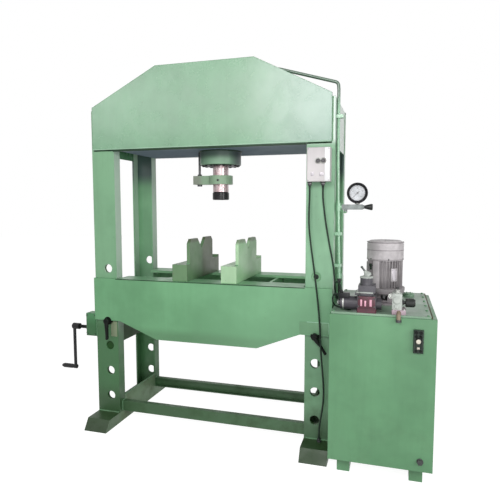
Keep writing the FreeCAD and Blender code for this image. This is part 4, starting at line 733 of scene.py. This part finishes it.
# ---- control box
def box_details():
    form = Form()
    for x, z in product((564, 663), (1392, 1543)):
        form.screw((x, BOX_FACE, z), FRONT, 3.0, 2.2)
    form.piece("box_cover_screws", "plate")
    # A near-white strip on the cover's right edge: a painted highlight.
    Form().block((644, -61.4, 1387), (668.5, -59.5, 1548), 0.8).piece("box_cover_strip", "strip")
    (Form().block((577, -61.2, 1412), (593, -59.6, 1430), 0.6).block((620, -61.2, 1411), (641, -59.6, 1429), 0.6)
     .piece("box_bare_plates", "plate"))
    form = Form()
    for x in (612, 637):
        form.collar((x, BOX_FACE, 1485), FRONT, [(15, -0.5), (15, 3.4), (13.6, 4.6), (11, 4.6), (10.6, -0.5)], 32)
    form.piece("button_collars", "zinc")
    Form().block((570, -3, 1385), (590, 0, 1550), 0.8).piece("box_backing_plate", "box")


def strain_reliefs():
    """Gland nuts with a tapered rubber sleeve over the cable's first run."""
    for name, spot, axis in (("box_left", (567, -27, 1369), DOWN), ("box_right", (632.7, -27, 1369), DOWN),
                             ("foot", (630, -36, 82), UP), ("terminal", (885.9, 198.8, 880), DOWN)):
        spot = Vector(spot)
        (Form().lathe(spot - axis * 15.0, axis, [(12.2, 0), (12.2, 5), (11, 6), (8, 6)], 6)
         .lathe(spot - axis * 7, axis, [(10.4, 0), (10.4, 6), (9.2, 8.5), (7, 8.5)], 6, 0.5)
         .piece(f"{name}_gland_nuts", "gland"))
        (Form().lathe(spot - axis, axis, [(7.2, 0), (7.2, 3), (6.0, 4), (6.4, 5.5), (5.6, 8), (5.9, 9.5),
                                          (5.2, 13), (5.4, 14.5), (4.7, 18), (4.55, 20)], 18)
         .piece(f"{name}_relief_sleeve", "cable"))


# ---- gauge
GAUGE = Vector((794, 0, 1331))
DIAL_FACE = 41.72
FIGURES = ("0", "10", "20", "30", "40")


def dial_angle(share):
    """The needle's angle from the top, to the right, at a share of the whole scale."""
    return math.radians(-135 + 270 * share)


def gauge_details():
    (Form().lathe(GAUGE + BACK * 41.98, FRONT, [(45.6, 0), (45.6, 0.16), (45.2, 0.2), (0, 0.2)], 64)
     .piece("gauge_dial", "dial", smooth=60))

    form = Form()
    middle = GAUGE + BACK * DIAL_FACE
    for step in range(41):
        angle = dial_angle(step / 40)
        out = lean(angle)
        inner, half = (33.0, 0.26) if step % 5 else (30.5, 0.55)
        side = Vector((math.cos(angle), 0, -math.sin(angle))) * half
        inner, outer = out * inner, out * 36.0
        form.prism([middle + inner - side, middle + outer - side, middle + outer + side, middle + inner + side],
                   (0, -0.08, 0), 0)
    form.collar(middle, FRONT, [(37.0, 0), (37.0, 0.08), (36.5, 0.08), (36.5, 0)], 72)
    for index, figure in enumerate(FIGURES):
        form.figures(figure, GAUGE + lean(dial_angle(index / 4)) * 24.5 + BACK * DIAL_FACE, 8.0)
    form.piece("gauge_scale", "ink")

    (Form().collar(GAUGE + BACK * 27.4, FRONT, [(38.2, 0), (39.4, 1.4), (43.0, 2.6), (48.4, 2.8), (50.6, 1.2),
                                                (50.6, -3)], 64)
     .piece("gauge_bezel", "bezel"))
    item = (Form().lathe((822, 50, 1262), RIGHT, [(7, 0), (7, 6), (9, 10), (13, 26), (15.5, 37), (16, 42), (14, 46),
                                                  (6, 46.3), (5, 44), (0, 44)], 10)
            .piece("isolator_knob_grip", "knob", "isolator_knob"))
    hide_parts("isolator_knob")
    (Form().hexagon((794, 46, 1277), UP, 22, 12, washer=False)
     .hexagon((726, 50, 1262), RIGHT, 20, 9.9, washer=False)
     .piece("gauge_nuts", "zinc"))
    (Form().lathe((735, 50, 1239), DOWN, [(9.4, 0), (9.4, 3), (7.4, 5.5), (4, 5.5), (4, 8), (0, 8)], 20)
     .piece("gauge_block_plug", "doubler"))


# ---- tank
def tank_details():
    form = Form()
    front, rear = -178, 422
    for x, y in ([(x, front + 120 * k) for x in (712, 1128) for k in range(6)]
                 + [(920, rear), (1024, front), (1024, rear)]):
        form.hexagon((x, y, LID_Z), UP, 10, 4.6)
    form.piece("lid_bolts", "tank_body")
    form = Form().lathe((1055, 325, 793.5), UP, [(27, 0), (27, 2), (24, 3.4), (10, 4), (8, 3), (0, 3)], 32)
    for angle in spread(6):
        form.socket((1055 + 20 * math.cos(angle), 325 + 20 * math.sin(angle), 797), UP, 2.6, 2.6)
    form.piece("filler_cap", "tank_body")
    # The cork seal that shows along the lid's right edge.
    Form().block((1139, -188, 770.4), (1147, 433, 779.7), 1.2).piece("lid_seal", "seal")
    Form().hexagon((1110, -200, 118), FRONT, 24, 14).piece("drain_plug", "bolt")
    # Level gauge: a round window in its ring, a slot below it, and the screws.
    (Form().lathe((1088, -214, 672), FRONT, [(11, -1), (11, 0.6), (9, 1.0), (0, 1.0)], 32)
     .block((1082, -215, 637), (1094, -211, 646), 1)
     .piece("level_window", "window"))
    form = Form().collar((1088, -214.6, 672), FRONT, [(13.5, -1), (13.5, 1.4), (12, 2), (10.6, 1.4), (10.6, -1)], 32)
    for x, (z, radius, rim, top, hole) in product((1078.5, 1097.5), (
            (712, 7.6, 6, 5, 2.6), (693, 6.4, 5, 5, 2.6), (630, 5.6, 4.4, 4.6, 2.2))):
        form.lathe((x, -214, z), FRONT, [(radius, -0.5), (radius, 3), (rim, top), (hole, top), (hole - 0.2, 2.5),
                                         (0, 2.5)], 20)
    form.piece("level_cap_screws", "pin")


# ---- motor
MOTOR_X, MOTOR_Y = 932, 100


def around_motor(degrees, radius, z):
    """A point at an angle to the right of straight ahead, as seen from the front."""
    angle = math.radians(degrees)
    return Vector((MOTOR_X + radius * math.sin(angle), MOTOR_Y - radius * math.cos(angle), z))


def from_motor(spot):
    """The way from the motor's axis to a point."""
    return spot - Vector((MOTOR_X, MOTOR_Y, spot.z))


def motor_band(form, first, last, inner, outer, low, high, steps=6):
    angles = [first + (last - first) * k / steps for k in range(steps + 1)]
    outline = ([around_motor(angle, outer, low) for angle in angles]
               + [around_motor(angle, inner, low) for angle in reversed(angles)])
    form.prism(outline, (0, 0, high - low), 0.8, 1)


def motor_details():
    form = Form()
    motor_band(form, -40, -17, 70, 87.2, 863, 997, 8)
    motor_band(form, 20, 43, 84, 87.4, 900, 963)
    form.piece("motor_smooth_bands", "motor_cowl")
    form = Form()
    motor_band(form, 23.5, 39.5, 87, 88.4, 903, 960)
    form.piece("motor_bare_plate", "plate")
    form = Form()
    for angle, z in product((25, 38), (907.5, 955.5)):
        spot = around_motor(angle, 88.2, z)
        form.screw(spot, from_motor(spot), 1.8, 1.4)
    for angle in range(12, 372, 60):
        spot = around_motor(angle, 88, 1006)
        form.screw(spot, from_motor(spot), 4, 3)
    for angle in range(45, 405, 90):
        form.hexagon(around_motor(angle, 90, 862), UP, 13, 9)
        form.hexagon(around_motor(angle, 90, 848), DOWN, 13, 8)
        form.hexagon(around_motor(angle + 20, 79, 790), UP, 11, 8)
    form.piece("motor_bolts", "bolt")
    form = Form()
    for z in (1004, 1050, 1088):
        form.collar((MOTOR_X, MOTOR_Y, z), UP, [(88.4, -2.2), (89.8, -1.4), (90.4, 0), (89.8, 1.4), (88.4, 2.2)], 72)
    form.piece("cowl_ribs", "cowl_dark")
    spot = around_motor(-50, 85, 974)
    (Form().lathe(spot, from_motor(spot), [(9, -3), (9, 5), (7, 8), (0, 8)], 24)
     .lathe(spot - UP * 14, from_motor(spot), [(7, -3), (7, 4), (5, 6), (0, 6)], 24)
     .piece("motor_rubber_plugs", "cable"))
    # Lid of the terminal box, with its four screws, on the box's outer face.
    turn = math.radians(25)
    out = Vector((-math.sin(turn), math.cos(turn), 0))
    side = Vector((out.y, -out.x, 0))
    face = Vector((MOTOR_X, MOTOR_Y, 896)) + out * 120
    corners = ([face - side * 47 - out * 0.5 + UP * z for z in (-1, 81)]
               + [face + side * 47 - out * 0.5 + UP * z for z in (81, -1)])
    Form().prism(corners, out * 7, 2.5).piece("terminal_box_lid", "motor_cowl")
    form = Form()
    for shift, z in product((-38, 38), (8, 72)):
        form.screw(face + side * shift + out * 6.5 + UP * z, out, 3.6, 2.6)
    form.piece("terminal_box_screws", "bolt")
    eye = around_motor(168, 92, 966)
    (Form().tube([eye + Vector((0, 14 * math.cos(a), 14 * math.sin(a))) for a in spread(24, 1)], 3.4, 10, 1)
     .lathe(around_motor(168, 84, 966), around_motor(168, 10, 0) - around_motor(168, 0, 0),
            [(9, -2), (9, 3), (5, 5), (5, -2)], 16)
     .piece("motor_lifting_eye", "bolt"))


# ---- valves
def valve_details():
    form = Form()
    for x, y in product((828, 893), (-180, -82)):
        form.socket((x, y, 857), UP, 5.5, 6)
    for z, x in product((811, 848), (826, 895)):
        form.socket((x, -191.4, z), FRONT, 3.6, 4)
    form.piece("valve_cap_screws", "bolt")
    Form().block((822, -191.6, 801), (899, -189.4, 857), 0.8).piece("valve_front_plate", "manifold")
    form = Form()
    for left, right, top in ((833, 841, 842), (851, 859, 838), (874, 884, 843)):
        form.block((left, -193.6, 812), (right, -191.2, top), 0.8)
    form.piece("valve_bare_plates", "rose")
    Form().block((812, -176, 868), (888, -88, 873), 1.4).piece("lever_valve_gasket", "relief_block")
    (Form().lathe((855.4, -130, 938), UP, [(30.5, -3), (30.5, 1), (28, 3.5), (20, 4), (14, 8), (8, 9)], 32)
     .piece("lever_drum_ring", "relief_block"))
    (Form().block((733, -178, 842), (782, -142, 866), 3)
     .lathe((744, -160, 866), UP, [(8, -1), (8, 6), (6, 9), (5, 12), (0, 12)], 18)
     .piece("coil_connector", "gauge_case"))
    item = (Form().block((971, -186, 801), (1015, -120, 875), 5)
            .lathe((993, -186, 846), FRONT, [(17, -4), (17, 2), (14, 4.5), (0, 4.5)], 32)
            .lathe((993, -186, 818), FRONT, [(11, -4), (11, 3), (9, 4.5), (0, 4.5)], 6)
            .lathe((1012, -151, 832), RIGHT, [(21, -6), (21, 2), (18, 4), (0, 4)], 32)
            .piece("relief_block_casting", "relief_block"))
    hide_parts("relief_block")
    Form().block((971, -190, 780.2), (1032, -112, 802), 3).piece("relief_block_flange", "relief_low")
    (Form().tube([(1001.5, -176, 791), (1001.5, -196, 791), (1001.5, -208, 782), (1001.5, -211, 768),
                  (1001.5, -212, 752)], 9.6, 24, 10)
     .piece("relief_elbow", "elbow"))
    (Form().collar((1001.5, -212, 752), DOWN, [(9, -12), (12.4, -12), (12.4, -1), (11.6, 0), (9.8, 0), (9.8, -6)], 28)
     .collar((1017, -151, 832), RIGHT, [(9, 0), (12.5, 0), (12.5, 7), (9, 7)], 6)
     .piece("relief_nuts", "bolt"))
    # The hand lever: a short bar that rises from a rounded boot.
    pivot, way = Vector((861.4, -130, 947.3)), lean(math.radians(-38))
    (Form().lathe(pivot, way, [(16, -6), (17, 0), (16, 5), (13.4, 11), (9, 18), (7, 24), (5.2, 25), (0, 25)], 32)
     .piece("lever_boot", "relief_block", "valve_lever"))
    item = (Form().lathe(pivot, way, [(4.6, 22), (4.6, 42), (5.6, 44), (5.6, 49), (4.4, 51), (0, 51.4)], 20)
            .piece("lever_bar", "valve_lever", "valve_lever"))
    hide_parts("valve_lever")
    # Bright nut and band on the coil.
    (Form().collar((741, -155, 819), LEFT, [(31.3, -16), (31.3, -10), (30.8, -9.6), (30.8, -16.4)], 48)
     .hexagon((735, -155, 819), LEFT, 24, 8)
     .piece("coil_nut", "zinc"))
    form = Form().lathe((966, -150, 858), FRONT, [(13, -2), (13, 3), (11, 5), (8, 5), (7, 0)], 28)
    form.hexagon((993, -150, 875), UP, 22, 13)
    for x, y in ((980, -184), (1025, -184), (1025, -120)):
        form.socket((x, y, 802), UP, 4.6, 5)
    form.piece("relief_block_fittings", "zinc")
    # A bright return pipe from the manifold's left side into the lid, and looped lead wires behind it.
    (Form().tube([(818, -100, 791), (790, -96, 791), (770, -84, 792), (748, -70, 800), (741, -64, 817),
                  (741, -58, 834), (741, -30, 838), (741, -22, 822), (741, -20, 781)], 5.5, 12, 14)
     .piece("return_pipe", "relief_block"))
    (Form().hexagon((741, -20, 781), UP, 22, 12)
     .lathe((782, -91, 791), RIGHT, [(11.5, -6), (11.5, 8), (10, 10), (6, 10)], 6)
     .hexagon((806, -112, 818), LEFT, 20, 16, washer=False)
     .hexagon((710.2, 50, 902), DOWN, 19, 17, washer=False)
     .piece("pipe_fittings", "bolt"))
    (Form().tube([(744, -160, 878), (738, -156, 900), (722, -130, 912), (706, -96, 900), (700, -60, 872),
                  (704, -30, 830), (720, -10, 800), (726, -4, 781)], 4.2, 10, 40)
     .tube([(734, -166, 856), (716, -170, 862), (702, -150, 840), (700, -120, 806), (712, -96, 786),
            (744, -110, 784), (784, -150, 784)], 4.0, 10, 34)
     .piece("solenoid_leads", "cable"))


# ---- winch
def winch_details():
    form = Form()
    for z, y in product((522, 626), (12, 48)):
        form.hexagon((-756, y, z), LEFT, 11, 7)
    form.lathe((-756, 30, 550), LEFT, [(24, -1), (24, 6), (21, 9), (13, 9), (10.6, 5)], 32)
    form.piece("winch_bearing_plate", "bolt")
    Form().block((-752, -3.2, 512), (-690, 0.2, 636), 1.2).piece("winch_front_cover", "winch_housing")
    form = Form()
    for x, z in product((-745, -697), (519, 629)):
        form.screw((x, -3, z), FRONT, 3.8, 2.8)
    form.piece("winch_cover_screws", "bolt")


# ---- cords
CORDS = {
    "motor_cable": (9, [
        (632.7, -27, 1369), (632.7, -27, 1309), (646, -30, 1200), (668, -32, 1080), (688, -33, 985),
        (695, -33, 925), (699.5, -33, 875), (701.5, -32.5, 823.5), (713.2, -26, 800), (731, -8, 786.5),
        (752, 22, 786.5), (772, 60, 786.5), (806, 103, 786.5), (849.4, 155.1, 786.5), (873.1, 183.3, 807.8),
        (885.9, 198.8, 842.6), (885.9, 198.8, 880)]),
    "control_cable": (9, [
        (567, -27, 1369), (567, -27, 1299), (564, -31, 1185), (577, -34, 1070), (594, -35, 960),
        (608, -34, 850), (621, -35, 740), (629, -39, 650), (633, -43, 560), (641, -39, 460),
        (650, -35, 360), (650, -34, 280), (640, -35, 205), (630, -36, 145), (630, -36, 82)]),
    "valve_hose": (11, [
        (710.2, 50, 902), (710.2, 50, 867.6), (712.1, 32, 836.1), (715.4, 0.7, 818), (721.9, -61, 818),
        (745.4, -95.8, 818), (775.8, -112, 818), (806, -112, 818)]),
}
WIDE = 1000  # no limit on how far before a corner its curve starts


def make_cord(name, diameter, route):
    route = [Vector(point) for point in route]
    hose = name == "valve_hose"
    form = Form().tube(route, diameter / 2, 16, WIDE)
    item = form.piece(name + "_sheath", "valve_hose" if hose else "cable", smooth=60)
    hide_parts(name)


for cord_name, (cord_diameter, cord_route) in CORDS.items():
    make_cord(cord_name, cord_diameter, cord_route)

for build in (weld_beads, cylinder_details, leg_details, box_details, strain_reliefs, gauge_details, tank_details,
              motor_details, valve_details, winch_details):
    build()


# ---- stage, light and camera
def stage():
    """A white floor that catches soft shadows, and a world that is white where it is seen but lights gently."""
    bpy.ops.mesh.primitive_plane_add(size=30, location=(0, 0, -0.0005))
    floor = bpy.context.object
    floor.name = "floor"
    g = Coat("floor_white")
    g.finish(g.mix(g.noise(0.6, 2), (0.34, 0.34, 0.34), (0.38, 0.38, 0.38)), 0.9, Specular_IOR_Level=0.0)
    glow = g.add("ShaderNodeEmission", {"Color": (1, 1, 1), "Strength": g.times(g.seen(), 0.93)})
    both = g.add("ShaderNodeAddShader", {0: g.shader.outputs[0], 1: glow.outputs[0]})
    g.put(g.output, {"Surface": both.outputs[0]})
    floor.data.materials.append(g.material)

    world = bpy.data.worlds.new("studio")
    bpy.context.scene.world = world
    world.use_nodes = True
    g = Graph(world.node_tree)
    light = g.add("ShaderNodeBackground", {"Color": (1, 1, 1), "Strength": g.ramp(g.seen(), 0.0, 1.0, 0.24, 1.0)})
    g.add("ShaderNodeOutputWorld", {"Surface": light.outputs[0]})


def softbox(name, place, target, width, height, power):
    lamp = fit(bpy.data.lights.new(name, "AREA"), shape="RECTANGLE", size=width, size_y=height, energy=power)
    way = (Vector(target) - Vector(place)).to_track_quat("-Z", "Y").to_euler()
    fit(placed(name, lamp), location=place, rotation_euler=way)


def camera():
    data = fit(bpy.data.cameras.new("camera"), sensor_width=36, lens=35.17, clip_end=60)
    bpy.context.scene.camera = fit(placed("camera", data), location=(0.873, -2.655, 1.261),
                                   rotation_euler=(math.radians(90 - 5.003), 0, math.radians(16.601)))


stage()
softbox("key_left", (-1.45, -2.75, 2.45), (-0.3, 0, 1.5), 2.2, 0.9, 17)
softbox("key_right", (0.15, -2.75, 2.40), (0.2, 0, 1.5), 1.2, 1.0, 26)
softbox("fill", (1.3, -3.3, 0.95), (0.3, 0, 0.7), 1.4, 1.2, 30)
softbox("side", (3.2, -1.9, 1.7), (0.4, 0, 0.9), 1.4, 1.6, 48)
camera()
bpy.context.scene.view_settings.view_transform = "Standard"

bpy.context.view_layer.update()
